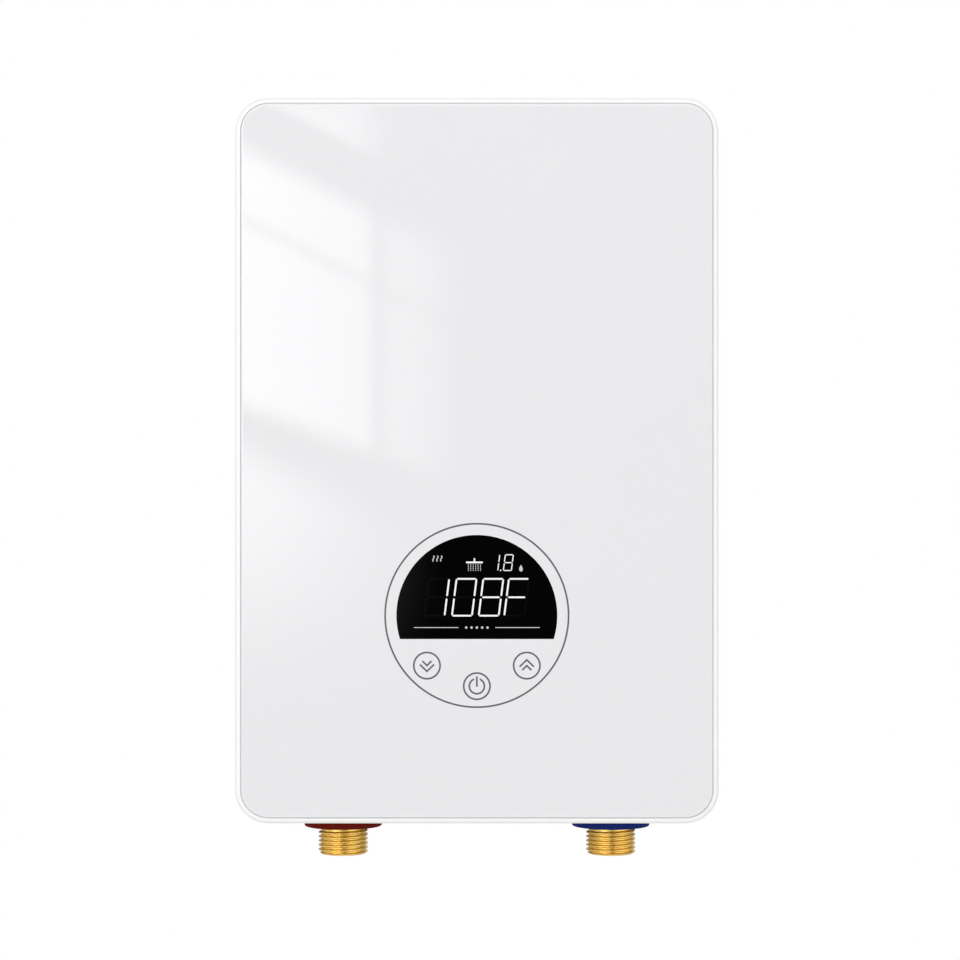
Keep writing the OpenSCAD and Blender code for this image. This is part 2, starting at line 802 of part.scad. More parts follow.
module cable_grommet() color("dimgray") translate([0, -cable_d, 0]) rotate_extrude() polygon([
    [cable_r, -half_h - grommet_t],
    [grommet_r + grommet_lip, -half_h - grommet_t],
    [grommet_r + grommet_lip, -half_h],
    [grommet_r - grommet_clear, -half_h],
    [grommet_r - grommet_clear, floor_z],
    [grommet_r + grommet_lip, floor_z],
    [grommet_r + grommet_lip, floor_z + grommet_t],
    [cable_r, floor_z + grommet_t]
]);

// Bar on two bosses, with an arch that holds the supply cable
module cable_clamp() color("gainsboro") difference() {
    box([-clamp_x - boss_r, clamp_x + boss_r], [clamp_d, clamp_front], [clamp_z, clamp_z + clamp_h]);
    upright(0, cable_d, cable_r, clamp_z - over, clamp_z + clamp_h + over);
    box([-cable_r, cable_r], [clamp_d - over, cable_d], [clamp_z - over, clamp_z + clamp_h + over]);
    for (sx = [-1, 1]) rod(sx * clamp_x, clamp_mid_z, small_hole_r, clamp_d - over, clamp_front + over);
}

module terminal_block() color("whitesmoke") difference() {
    union() {
        box([-block_half, block_half], [block_back, block_front], [block_z, block_top]);
        box([-ear_end, ear_end], [block_back, block_back + ear_t],
            [block_z + ear_inset, block_top - ear_inset]);
    }
    for (x = poles) {
        upright(x, block_mid_d, lead_r + pole_hole_clear, block_z - over, block_z + pole_hole_len);
        rod(x, block_mid_z, small_head_r + well_clear, block_front - well_d, block_front + over);
        rod(x, block_mid_z, small_hole_r, block_mid_d, block_front);
    }
    for (x = [-ear_x, ear_x]) rod(x, block_mid_z, small_hole_r, block_back - over, block_back + ear_t + over);
}

// Clamping screws of the terminals, and the screws of the block's ears and of the cable clamp
module wiring_screws() color("silver") {
    for (x = poles) front_screw(x, block_mid_z, block_front - well_d, pole_screw_len);
    for (sx = [-1, 1]) {
        front_screw(sx * ear_x, block_mid_z, block_back + ear_t, ear_t + small_bite / 2);
        front_screw(sx * clamp_x, clamp_mid_z, clamp_front, clamp_front - clamp_d + small_bite);
    }
}

// Outer edge of a spigot from z0 to z1, with its O-ring groove halfway
function spigot_edge(z0, z1) = let (groove = span((z0 + z1) / 2, groove_w)) [
    [spigot_r, z0],
    [spigot_r, groove[0]],
    [groove_r, groove[0]],
    [groove_r, groove[1]],
    [spigot_r, groove[1]],
    [spigot_r, z1]
];

// Outer edge of a thread, upwards from z: flat crests between straight flanks
function thread_edge(z) = [for (i = [0 : thread_turns - 1]) each [
    [thread_r - thread_depth, z + i * thread_pitch],
    [thread_r, z + (i + flank) * thread_pitch],
    [thread_r, z + (i + flank + crest) * thread_pitch],
    [thread_r - thread_depth, z + (i + 2 * flank + crest) * thread_pitch]
]];

module fitting() rotate_extrude() polygon(concat(
    [[bore_r, nipple_z]],
    thread_edge(nipple_z),
    [[thread_r - thread_depth, relief_z], [shank_r, relief_z], [shank_r, flange_z], [flange_r, flange_z],
     [flange_r, seat_z]],
    spigot_edge(seat_z, spigot_top),
    [[bore_r, spigot_top]]
));

module cold_inlet_fitting() color("goldenrod") on_pipe(1) difference() {
    fitting();
    translate([0, 0, nipple_z - over])
        cylinder(r = strainer_lip_r + strainer_clear, h = strainer_seat + over);
}

module hot_outlet_fitting() color("goldenrod") on_pipe(-1) fitting();

module collar() rotate_extrude() polygon([
    [shank_r + shank_clear, -half_h - collar_t],
    [collar_r - collar_bevel, -half_h - collar_t],
    [collar_r, -half_h - collar_t + collar_bevel],
    [collar_r, -half_h],
    [shank_r + shank_clear, -half_h]
]);

module cold_collar() color("royalblue") on_pipe(1) collar();
module hot_collar() color("firebrick") on_pipe(-1) collar();

module fitting_gaskets() color("dimgray") for (side = [-1, 1]) on_pipe(side)
    translate([0, 0, floor_z]) linear_extrude(gasket_t) difference() {
        circle(flange_r);
        circle(shank_r + shank_clear);
    }

module spigot_o_rings() color("black") for (side = [-1, 1]) on_pipe(side)
    for (z = [seat_z + spigot_len / 2, chamber_z - spigot_len / 2]) translate([0, 0, z])
        rotate_extrude() translate([groove_r + oring_clear + oring_t / 2, 0]) circle(oring_t / 2);

// Slotted basket in the cold inlet's bore, its lip in the recess at the end
module inlet_strainer() color("whitesmoke") on_pipe(1) translate([0, 0, nipple_z + strainer_seat]) {
    translate([0, 0, -strainer_lip_t]) linear_extrude(strainer_lip_t) difference() {
        circle(strainer_lip_r);
        circle(strainer_in_r);
    }
    difference() {
        cylinder(r = strainer_r, h = strainer_len);
        translate([0, 0, -over]) cylinder(r = strainer_in_r, h = strainer_len - strainer_wall + over);
        for (turn = [0 : 30 : 150]) rotate(turn) translate([-bore_r, -strainer_slot / 2, 2 * strainer_wall])
            cube([2 * bore_r, strainer_slot, strainer_len - 5 * strainer_wall]);
        for (i = [-1 : 1]) translate([2 * i * strainer_slot, 0, strainer_len])
            cube([strainer_slot, strainer_in_r, 4 * strainer_wall], center = true);
    }
}

module flow_sensor_body() color("dimgray") on_pipe(1) translate([0, 0, seat_z]) difference() {
    union() {
        cylinder(r = joint_r, h = joint_len);
        for (i = [1 : 3]) translate([0, 0, i * joint_rib_gap])
            cylinder(r = joint_r + joint_rib_t, h = joint_rib_w);
    }
    translate([0, 0, -over]) cylinder(r = socket_r, h = joint_len + 2 * over);
}

// Three-legged carriers at both ends of the rotor, stacked between the spigots
module rotor_carriers() color("whitesmoke") on_pipe(1)
    for (z = carrier_levels) translate([0, 0, z]) linear_extrude(carrier_t) difference() {
        union() {
            difference() {
                circle(spigot_r);
                circle(spigot_r - carrier_rim);
            }
            for (turn = [0, 120, 240]) rotate(turn) translate([0, -carrier_leg_w / 2])
                square([spigot_r - carrier_rim / 2, carrier_leg_w]);
            circle(carrier_hub_r);
        }
        circle(axle_r + socket_clear / 2);
    }

module rotor_axle() color("silver") on_pipe(1) translate([0, 0, spigot_top + axle_room])
    cylinder(r = axle_r, h = rotor_len + 2 * (carrier_t + end_play - axle_room));

module flow_rotor() color("lightskyblue") on_pipe(1) translate([0, 0, rotor_z]) difference() {
    union() {
        cylinder(r = rotor_hub_r, h = rotor_len);
        intersection() {
            cylinder(r = rotor_r, h = rotor_len);
            for (i = [0 : blades - 1]) rotate(i * 360 / blades) translate([0, 0, rotor_len / 2])
                rotate([blade_tilt, 0, 0]) translate([rotor_hub_r / 2, -blade_t / 2, -rotor_len])
                    cube([rotor_r, blade_t, 2 * rotor_len]);
        }
    }
    translate([0, 0, -over]) cylinder(r = axle_r + rotor_fit, h = rotor_len + 2 * over);
}

module hall_pickup() color("black") difference() {
    box([pickup_x, pickup_x + pickup_out + pickup_wrap], span(pipe_d, pickup_w), span(joint_mid, pickup_h));
    upright(pipe_x, pipe_d, joint_r + saddle_clear, joint_mid - pickup_h, joint_mid + pickup_h);
}

// Block between the hot chamber and its fitting, with seats for the sensor and the cut-out
module outlet_block() color("darkgoldenrod") difference() {
    union() {
        upright(-pipe_x, pipe_d, joint_r, seat_z, chamber_z);
        across(-pipe_x, probe_seat, pipe_d, joint_mid, probe_boss_r);
        box(span(-pipe_x, cutout_neck_w), [pipe_d, cutout_d - cutout_pad_t], span(joint_mid, cutout_neck_h));
        box(span(-pipe_x, cutout_plate_w), [cutout_d - cutout_pad_t, cutout_d],
            span(joint_mid, cutout_pad_h));
    }
    upright(-pipe_x, pipe_d, socket_r, seat_z - over, chamber_z + over);
    across(-pipe_x, probe_seat + over, pipe_d, joint_mid, probe_r + socket_clear);
    for (x = cutout_screws_x)
        rod(x, joint_mid, small_hole_r, cutout_d - cutout_pad_t - over, cutout_d + over);
}

module outlet_temp_sensor() color("goldenrod") {
    tail = probe_seat + probe_hex_h;
    across(probe_seat - probe_len, probe_seat, pipe_d, joint_mid, probe_r);
    across(-pipe_x + probe_tip_gap, probe_seat - probe_len, pipe_d, joint_mid, probe_tip_r);
    translate([probe_seat, -pipe_d, joint_mid]) rotate([0, 90, 0])
        cylinder(r = probe_hex_r, h = probe_hex_h, $fn = 6);
    across(tail, tail + probe_tail_len, pipe_d, joint_mid, probe_tail_r);
}

// Bimetal cut-out: fixing plate, body with the button's guide, and two blade terminals
module thermal_cutout() color("darkslategray") difference() {
    union() {
        box(span(-pipe_x, cutout_plate_w), [cutout_d, cutout_base], span(joint_mid, cutout_plate_h));
        rod(-pipe_x, joint_mid, cutout_r, cutout_d, cutout_front);
        for (side = [-1, 1])
            box([-pipe_x + cutout_r / 2, -pipe_x + cutout_r + tab_h],
                [cutout_front - cutout_tab_back, cutout_front - cutout_tab_front],
                span(joint_mid + side * cutout_tab_row, tab_t));
    }
    rod(-pipe_x, joint_mid, reset_r + reset_clear, reset_floor, cutout_front + over);
    rod(-pipe_x, joint_mid, reset_r + reset_lip + reset_clear, reset_floor, reset_floor + reset_room);
    for (x = cutout_screws_x) rod(x, joint_mid, small_hole_r, cutout_d - over, cutout_base + over);
}

module cutout_screws() color("silver")
    for (x = cutout_screws_x) front_screw(x, joint_mid, cutout_base, cutout_screw_len);

module reset_button() color("red") {
    back = reset_floor + reset_gap;
    rod(-pipe_x, joint_mid, reset_r, back, cutout_front + reset_out);
    rod(-pipe_x, joint_mid, reset_r + reset_lip, back, back + reset_flange);
}

// Chamber on the given side: shell, spigot and the collar for the crossover pipe
module chamber(side) difference() {
    union() {
        on_pipe(side) rotate_extrude() polygon(concat(
            [[0, chamber_z - spigot_len]],
            spigot_edge(chamber_z - spigot_len, chamber_z),
            [[chamber_r, chamber_z], [chamber_r, chamber_top], [0, chamber_top]]
        ));
        on_pipe(side) translate([0, 0, cross_z]) rotate([0, -90 * side, 0])
            cylinder(r = cross_collar_r, h = chamber_r + cross_collar);
    }
    on_pipe(side) rotate_extrude() polygon([
        [0, chamber_z - spigot_len - over],
        [bore_r, chamber_z - spigot_len - over],
        [bore_r, chamber_z + base_t],
        [chamber_r - chamber_wall, chamber_z + base_t],
        [chamber_r - chamber_wall, chamber_top - cap_t],
        [plug_r + socket_clear, chamber_top - cap_t],
        [plug_r + socket_clear, chamber_top + over],
        [0, chamber_top + over]
    ]);
    on_pipe(side) translate([0, 0, cross_z]) rotate([0, -90 * side, 0])
        cylinder(r = cross_r + socket_clear, h = chamber_r + cross_collar + over);
}

module cold_chamber() color("silver") {
    chamber(1);
    tab_end = pipe_x - chamber_r;
    tab_z = chamber_z + earth_tab_rise;
    box([tab_end - earth_tab_len, tab_end + chamber_wall / 2], span(pipe_d, tab_t), [tab_z, tab_z + tab_w]);
}

module hot_chamber() color("silver") chamber(-1);

module crossover_pipe() color("silver") difference() {
    across(-cross_end, cross_end, pipe_d, cross_z, cross_r);
    across(-cross_end - over, cross_end + over, pipe_d, cross_z, cross_r - cross_wall);
}

// Hairpin rod on a hexagon plug, with two terminal studs
module element() {
    for (side = [-1, 1]) translate([0, side * bend_r, 0]) {
        translate([0, 0, bend_z]) cylinder(r = rod_r, h = chamber_top - cap_t - bend_z);
        translate([0, 0, hex_top]) cylinder(r = stud_r, h = stud_h);
    }
    translate([0, 0, bend_z]) rotate([-90, 0, 90])
        rotate_extrude(angle = 180) translate([bend_r, 0]) circle(rod_r);
    translate([0, 0, chamber_top - cap_t]) cylinder(r = plug_r, h = cap_t + plug_washer_t);
    translate([0, 0, plug_z]) cylinder(d = plug_hex_w, h = plug_hex_h, $fn = 6);
}

module cold_element() color("silver") on_pipe(1) element();
module hot_element() color("silver") on_pipe(-1) element();

module element_washers() color("chocolate") for (side = [-1, 1]) on_pipe(side)
    translate([0, 0, chamber_top]) linear_extrude(plug_washer_t) difference() {
        circle(chamber_r - washer_inset);
        circle(plug_r + socket_clear);
    }

module at_studs() for (side = [-1, 1], row = [-1, 1]) on_pipe(side)
    translate([0, row * bend_r, 0]) children();

module element_insulators() color("ivory") at_studs() translate([0, 0, hex_top])
    linear_extrude(insulator_h) difference() {
        circle(insulator_r);
        circle(stud_r + socket_clear);
    }

// Ring lugs on the studs, with their barrels towards the middle of the case
module lead_lugs() color("silver") for (side = [-1, 1], row = [-1, 1])
    translate([0, -pipe_d + row * bend_r, lug_z]) mirror([side > 0 ? 0 : 1, 0, 0]) difference() {
        union() {
            translate([pipe_x, 0, -lug_t / 2]) cylinder(r = insulator_r, h = lug_t);
            translate([barrel_end + barrel_len - barrel_lap, -barrel_r, -lug_t / 2])
                cube([lug_len - barrel_len + barrel_lap, 2 * barrel_r, lug_t]);
            translate([barrel_end, 0, 0]) rotate([0, 90, 0]) cylinder(r = barrel_r, h = barrel_len);
        }
        translate([pipe_x, 0, -lug_t]) cylinder(r = stud_r + socket_clear, h = 2 * lug_t);
    }

module element_nuts() color("silver") at_studs() translate([0, 0, lug_z + lug_t / 2]) difference() {
    cylinder(r = nut_r, h = nut_h, $fn = 6);
    translate([0, 0, -over]) cylinder(r = stud_r + socket_clear, h = nut_h + 2 * over);
}

// Straps over the front half of each chamber, with a foot on a boss at each side
module chamber_straps() color("silver") at_straps() translate([0, -pipe_d, -strap_w / 2]) difference() {
    linear_extrude(strap_w) {
        intersection() {
            difference() {
                circle(strap_in_r + strap_t);
                circle(strap_in_r);
            }
            translate([-2 * chamber_r, -2 * chamber_r]) square([4 * chamber_r, 2 * chamber_r + strap_t]);
        }
        for (side = [-1, 1]) mirror([side > 0 ? 0 : 1, 0]) difference() {
            translate([chamber_r, 0]) square([foot_end - chamber_r, strap_t]);
            circle(strap_in_r);
        }
    }
    for (side = [-1, 1]) translate([side * foot_x, strap_t + over, strap_w / 2]) rotate([90, 0, 0])
        cylinder(r = small_hole_r, h = strap_t + 2 * over);
}

module strap_screws() color("silver") at_straps()
    for (side = [-1, 1]) front_screw(side * foot_x, 0, pipe_d, strap_t + small_bite);

// Aluminium saddle between the cold chamber and the triacs
module triac_heatsink() color("lightgray") difference() {
    box([sink_x, pipe_x - chamber_r / 2], span(pipe_d, sink_w), span(sink_z, sink_h));
    upright(pipe_x, pipe_d, chamber_r + saddle_clear, sink_z - sink_h, sink_z + sink_h);
    for (z = triac_levels)
        across(sink_x - over, sink_x + triac_screw_len + tip_room, pipe_d + triac_screw_d, z, small_hole_r);
}

// Two triacs flat on the saddle, their legs down to the main board
module triacs() color("black") for (z = triac_levels) difference() {
    union() {
        box([sink_x - triac_t, sink_x], span(pipe_d, triac_len), span(z, triac_w));
        for (leg = [-1 : 1]) box(span(triac_leg_x, triac_leg_t), [board_front, pipe_d - triac_len / 2],
            span(z + leg * triac_leg_pitch, triac_leg_w));
    }
    across(sink_x - triac_t - over, sink_x + over, pipe_d + triac_screw_d, z, small_hole_r);
}

module triac_screws() color("silver") for (z = triac_levels) {
    across(sink_x - triac_t - small_head_h, sink_x - triac_t, pipe_d + triac_screw_d, z, small_head_r);
    across(sink_x - triac_t, sink_x + triac_screw_len, pipe_d + triac_screw_d, z, small_screw_r);
}

module main_board() color("darkgreen") difference() {
    box([-board_half, board_half], [board_d, board_front], [board_z, board_top]);
    for (sx = [-1, 1], z = board_hole_rows)
        rod(sx * board_hole_x, z, small_hole_r, board_d - over, board_front + over);
}

module main_board_screws() color("silver") for (sx = [-1, 1], z = board_hole_rows)
    front_screw(sx * board_hole_x, z, board_front, board_t + board_rise - tip_room);

module power_relay() color("midnightblue")
    box([relay_x, relay_x + relay_w], [board_front, board_front + relay_t], [relay_z, relay_top]);

// Bobbin, wound core and two iron legs
module supply_transformer() color("khaki") {
    x = relay_x + transformer_w / 2;
    z = transformer_z + transformer_h / 2;
    core_d = board_front + bobbin_t;
    core_front = board_front + transformer_t;
    box(span(x, transformer_w), [board_front, core_d], span(z, transformer_h));
    box(span(x, core_w), [core_d, core_front], span(z, core_h));
    box(span(x, transformer_w), span((core_d + core_front) / 2, iron_t), span(z, iron_h));
}

module filter_capacitors() color("darkslateblue") for (row = [0, 1])
    rod(capacitor_x, transformer_z + capacitor_lift + row * (2 * capacitor_r + part_gap), capacitor_r,
        board_front, board_front + capacitor_len);

module line_capacitor() color("goldenrod")
    box(span(line_cap_x, line_cap_w), [board_front, board_front + line_cap_t],
        [board_z + line_cap_rise, board_z + line_cap_rise + line_cap_h]);

module board_chips() color("black") {
    drivers_z = board_z + driver_rise;
    drivers_d = [board_front, board_front + driver_t];
    box([capacitor_x, capacitor_x + chip_w], [board_front, board_front + chip_t],
        [relay_top - chip_w, relay_top]);
    box(span(capacitor_x - capacitor_r, driver_len), drivers_d, [drivers_z, drivers_z + driver_w]);
    box(span(line_cap_x + part_gap, driver_w), drivers_d, [drivers_z, drivers_z + driver_len]);
}

// Upright blade tabs: four for the elements at the top, two for the supply at the bottom
module board_tabs() color("silver") {
    for (x = top_tabs) box(span(x, tab_w), [board_front, tab_d], span(top_tab_z, tab_t));
    for (x = [-pole_pitch, pole_pitch]) box(span(x, tab_w), [board_front, tab_d], span(low_tab_z, tab_t));
}

module display_socket() color("ivory") difference() {
    box(span(0, plug_w + 2 * socket_wall), [board_front, socket_d],
        span(display_z, plug_t + 2 * socket_wall));
    box(span(0, plug_w + 2 * plug_clear), [plug_floor, socket_d + over],
        span(display_z, plug_t + 2 * plug_clear));
}

module sensor_sockets() color("ivory") for (p = small_sockets)
    box(span(p[0], small_socket_w), [board_front, small_socket_d], span(p[1], small_socket_len));

// A lead is a tube swept along a smooth curve through its points, given as x, depth, z
lead_sides = 8;
curve_steps = 2;
// Direction that no lead runs along
aside = [0.31, 0.47, 0.83];

function unit(v) = v / norm(v);
function to_frame(p) = [p[0], -p[1], p[2]];
function curve_point(a, b, c, d, t) =
    0.5 * (2 * b + (c - a) * t + (2 * a - 5 * b + 4 * c - d) * t * t + (3 * b - a - 3 * c + d) * t * t * t);
function curve(p) = let (n = len(p) - 1) concat(
    [for (i = [0 : n - 1], k = [0 : curve_steps - 1])
        curve_point(p[max(i - 1, 0)], p[i], p[i + 1], p[min(i + 2, n)], k / curve_steps)],
    [p[n]]
);
// Direction of the path; at both ends that of the first and last points given, so that the ends are square
function direction(p, c, i) =
    i == 0 ? unit(c[1] - c[0]) :
    i == len(p) - 1 ? unit(c[len(c) - 1] - c[len(c) - 2]) : unit(p[i + 1] - p[i - 1]);
// Carries the side direction along the tube without twist
function sides_along(t, i, n) = let (s = unit(n - (n * t[i]) * t[i]))
    i == len(t) - 1 ? [s] : concat([s], sides_along(t, i + 1, s));
function ring(c, t, s, r) = let (u = cross(t, s))
    [for (k = [0 : lead_sides - 1]) c + r * (cos(360 * k / lead_sides) * s + sin(360 * k / lead_sides) * u)];

module lead(points, r) {
    given = [for (p = points) to_frame(p)];
    path = curve(given);
    last = len(path) - 1;
    along = [for (i = [0 : last]) direction(path, given, i)];
    sides = sides_along(along, 0, cross(along[0], aside));
    rings = [for (i = [0 : last]) ring(path[i], along[i], sides[i], r)];
    n = lead_sides;
    skin = [for (i = [0 : last - 1], k = [0 : n - 1]) let (a = i * n + k, b = i * n + (k + 1) % n)
        each [[a, b + n, b], [a, a + n, b + n]]];
    caps = [for (k = [1 : n - 2]) each [[0, k, k + 1], [last * n, last * n + k + 1, last * n + k]]];
    polyhedron(points = [for (loop = rings) each loop], faces = concat(skin, caps));
}

// Power leads: supply to board, and board to the elements in front of and behind the crossover pipe
lead_pass_front = 6;
lead_pass_back = 9;
lead_front = pipe_d + cross_r + lead_pass_front;
lead_back = pipe_d - cross_r - lead_pass_back;
// The earth lead passes in front of the line capacitor
earth_d = max(pipe_d, board_front + line_cap_t + lead_r + part_gap);

module power_leads() color("firebrick") for (side = [-1, 1]) {
    lead([
        [side * pole_pitch, block_mid_d, block_top],
        [side * pole_pitch, block_mid_d, block_top + 5],
        [side * pole_pitch, tab_d + 6, low_tab_z - 6],
        [side * pole_pitch, tab_d + 7, low_tab_z - 1],
        [side * pole_pitch, tab_d + 3.5, low_tab_z],
        [side * pole_pitch, tab_d, low_tab_z]
    ], lead_r);
    lead([
        [side * barrel_end, pipe_d + bend_r, lug_z],
        [side * (barrel_end - 6), pipe_d + bend_r, lug_z],
        [side * top_tabs[3] + side * 5, lead_front - 2, lug_z - 9],
        [side * top_tabs[3], lead_front, cross_z + 12],
        [side * top_tabs[3], lead_front, cross_z - 6],
        [side * top_tabs[3], lead_front - 10, top_tab_z + 22],
        [side * top_tabs[3], tab_d + 11, top_tab_z + 6],
        [side * top_tabs[3], tab_d + 6, top_tab_z],
        [side * top_tabs[3], tab_d, top_tab_z]
    ], lead_r);
    lead([
        [side * barrel_end, pipe_d - bend_r, lug_z],
        [side * (barrel_end - 6), pipe_d - bend_r, lug_z],
        [side * top_tabs[2] + side * 9, lead_back + 3, lug_z - 10],
        [side * top_tabs[2], lead_back, cross_z + 12],
        [side * top_tabs[2], lead_back, cross_z - 6],
        [side * top_tabs[2], lead_back + 6, top_tab_z + 22],
        [side * top_tabs[2], tab_d + 8, top_tab_z + 7],
        [side * top_tabs[2], tab_d + 6, top_tab_z],
        [side * top_tabs[2], tab_d, top_tab_z]
    ], lead_r);
}

// Earth lead from the middle terminal to the tab on the cold chamber
module earth_lead() color("yellowgreen") lead([
    [0, block_mid_d, block_top],
    [0, block_mid_d, block_top + 5],
    [6, block_front + 4, block_top + 13],
    [line_cap_x + 2, earth_d, chamber_z + 4],
    [line_cap_x + 11, earth_d, chamber_z + earth_tab_rise + tab_w / 2],
    [pipe_x - chamber_r - earth_tab_len, pipe_d, chamber_z + earth_tab_rise + tab_w / 2]
], lead_r);

// Thin leads from the flow pickup, the temperature sensor and the cut-out to the sockets on the board
module sensor_leads() color("dimgray") {
    cutout_lead_d = cutout_front - (cutout_tab_back + cutout_tab_front) / 2;
    probe_x = -probe_seat - probe_hex_h - probe_tail_len;
    for (end = [[1, pickup_x], [-1, probe_x]]) lead([
        [end[0] * end[1], pipe_d, joint_mid],
        [end[0] * (end[1] - 3), pipe_d, joint_mid],
        [end[0] * (ear_end - 3), pipe_d, joint_mid + 12],
        [end[0] * small_socket_x, small_socket_d + 10, board_z + 13],
        [end[0] * small_socket_x, small_socket_d + 5, socket_levels[0]],
        [end[0] * small_socket_x, small_socket_d, socket_levels[0]]
    ], thin_r);
    for (side = [-1, 1]) lead([
        [-pipe_x + cutout_r + tab_h, cutout_lead_d, joint_mid + side * cutout_tab_row],
        [-pipe_x + cutout_r + tab_h + 4, cutout_lead_d, joint_mid + side * cutout_tab_row],
        [-small_socket_x - 6 - side, pipe_d + 8, joint_mid + 14 + side * 2],
        [-small_socket_x - 2 * side, small_socket_d + 12, board_z + 24],
        [-small_socket_x - 1.6 * side, small_socket_d + 5, socket_levels[1]],
        [-small_socket_x - 1.6 * side, small_socket_d, socket_levels[1]]
    ], thin_r);
}

module at_panel_posts() for (sx = [-1, 1], sz = [-1, 1])
    translate([sx * panel_post_x, 0, display_z + sz * panel_post_z]) children();

module front_cover() color("white") difference() {
    union() {
        difference() {
            union() {
                slab(cover_back, rim_d - edge_r) panel();
                translate([0, -rim_d + edge_r, 0]) rotate([90, 0, 0]) rounded_layer(edge_r);
            }
            slab(cover_back - over, seam_d) panel(lip_inset);
            slab(seam_d - over, cover_in) panel(wall);
            slab(recess_d, body_d + over) panel(glass_margin - glass_gap);
        }
        at_posts() rod(0, 0, post_r, cover_back, cover_in + over);
        at_panel_posts() rod(0, 0, panel_post_r, panel_board_d, cover_in + over);
        for (x = [-half_w / 3, half_w / 3])
            box(span(x, cover_rib_t), rib_depth, [display_z + panel_hole_r + rib_start, half_h - wall / 2]);
        for (z = [display_z + panel_hole_r + 2 * rib_start, half_h / 2])
            box(span(0, body_w - wall), rib_depth, span(z, cover_rib_t));
    }
    at_posts() rod(0, 0, cover_hole_r, cover_back - over, rear_depth + cover_bite + 2 * tip_room);
    at_panel_posts() rod(0, 0, small_hole_r, panel_board_d - over, cover_in);
    translate([0, 0, display_z]) rod(0, 0, panel_hole_r, cover_in - over, body_d);
}

module front_glass() color("aliceblue", 0.35) slab(body_d - glass_t, body_d) panel(glass_margin);

// Round window with a straight lower edge
module window(r, cut) intersection() {
    circle(r);
    translate([-2 * r, -cut]) square([4 * r, 4 * r]);
}

module graphic_film() color("white") difference() {
    slab(film_d, film_d + film_t) panel(glass_margin);
    translate([0, 0, display_z]) slab(film_d - over, film_d + film_t + over) window(window_r, window_cut);
}

module glass_tape() color("gray") slab(recess_d, film_d) frame(glass_margin, tape_w);

module display_module() color("black") translate([0, 0, display_z])
    slab(panel_board_d, film_d - film_clear) window(window_r + window_lap, window_cut + window_lap);

// Board behind the control panel, with its driver chips
module display_board() color("darkgreen") {
    back = panel_board_d - board_t;
    difference() {
        box(span(0, panel_board_w), [back, panel_board_d], span(display_z, panel_board_h));
        at_panel_posts() rod(0, 0, small_hole_r, back - over, panel_board_d + over);
    }
    chip_depth = [back - panel_chip_t, back];
    box(span(panel_chip_x, panel_chip_w), chip_depth, span(display_z, panel_chip_w));
    box(span(panel_driver_x, panel_driver_w), chip_depth,
        span(display_z + panel_driver_rise, panel_driver_h));
}

module display_board_screws() color("silver") at_panel_posts() {
    rod(0, 0, small_screw_r, panel_board_d - board_t, cover_in - 2 * tip_room);
    rod(0, 0, small_head_r, panel_board_d - board_t - small_head_h, panel_board_d - board_t);
}

module touch_pads() color("dimgray") for (p = [[-key_x, -key_drop], [key_x, -key_drop], [0, -power_drop]])
    rod(p[0], display_z + p[1], pad_r, panel_board_d, film_d);

// Flat ribbon with a plug for the main board, bowed so that it can give
function bow(t) = ribbon_bow * sin(360 * t);
module display_ribbon() color("lightgray") {
    steps = ribbon_steps;
    side = [for (i = [0 : steps]) [plug_end + (header_d - plug_end) * i / steps, bow(i / steps)]];
    box(span(0, plug_w), [plug_floor + plug_clear, plug_end], span(display_z, plug_t));
    box(span(0, plug_w), [header_d, panel_board_d - board_t], span(display_z, plug_t));
    translate([-ribbon_w / 2, 0, display_z]) rotate([90, 0, 90]) linear_extrude(ribbon_w) polygon(concat(
        [for (p = side) [-p[0], p[1] - ribbon_t / 2]],
        [for (i = [steps : -1 : 0]) [-side[i][0], side[i][1] + ribbon_t / 2]]
    ));
}

rear_housing();
cover_seal();
cover_screws();
cable_grommet();
cable_clamp();
terminal_block();
wiring_screws();
cold_inlet_fitting();
hot_outlet_fitting();
cold_collar();
hot_collar();
fitting_gaskets();
spigot_o_rings();
inlet_strainer();
flow_sensor_body();
rotor_carriers();
rotor_axle();
flow_rotor();
hall_pickup();
outlet_block();
outlet_temp_sensor();
thermal_cutout();
cutout_screws();
reset_button();
cold_chamber();
hot_chamber();
crossover_pipe();
cold_element();
hot_element();
element_washers();
element_insulators();
lead_lugs();
element_nuts();
chamber_straps();
strap_screws();
triac_heatsink();
triacs();
triac_screws();
main_board();
main_board_screws();
power_relay();
supply_transformer();
filter_capacitors();
line_capacitor();
board_chips();
board_tabs();
display_socket();
sensor_sockets();
power_leads();
earth_lead();
sensor_leads();
front_cover();
front_glass();
graphic_film();
glass_tape();
display_module();
display_board();
display_board_screws();
touch_pads();
display_ribbon();
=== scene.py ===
# %% [markdown]
# # A wall-hung instantaneous water heater
#
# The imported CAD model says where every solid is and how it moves. This lesson gives it its looks: a camera
# that stands where the photograph was taken, soft studio light, a finish for every material, and new
# surfaces for the pieces whose solids are plain. Each cell is one step and leans only on those above it.

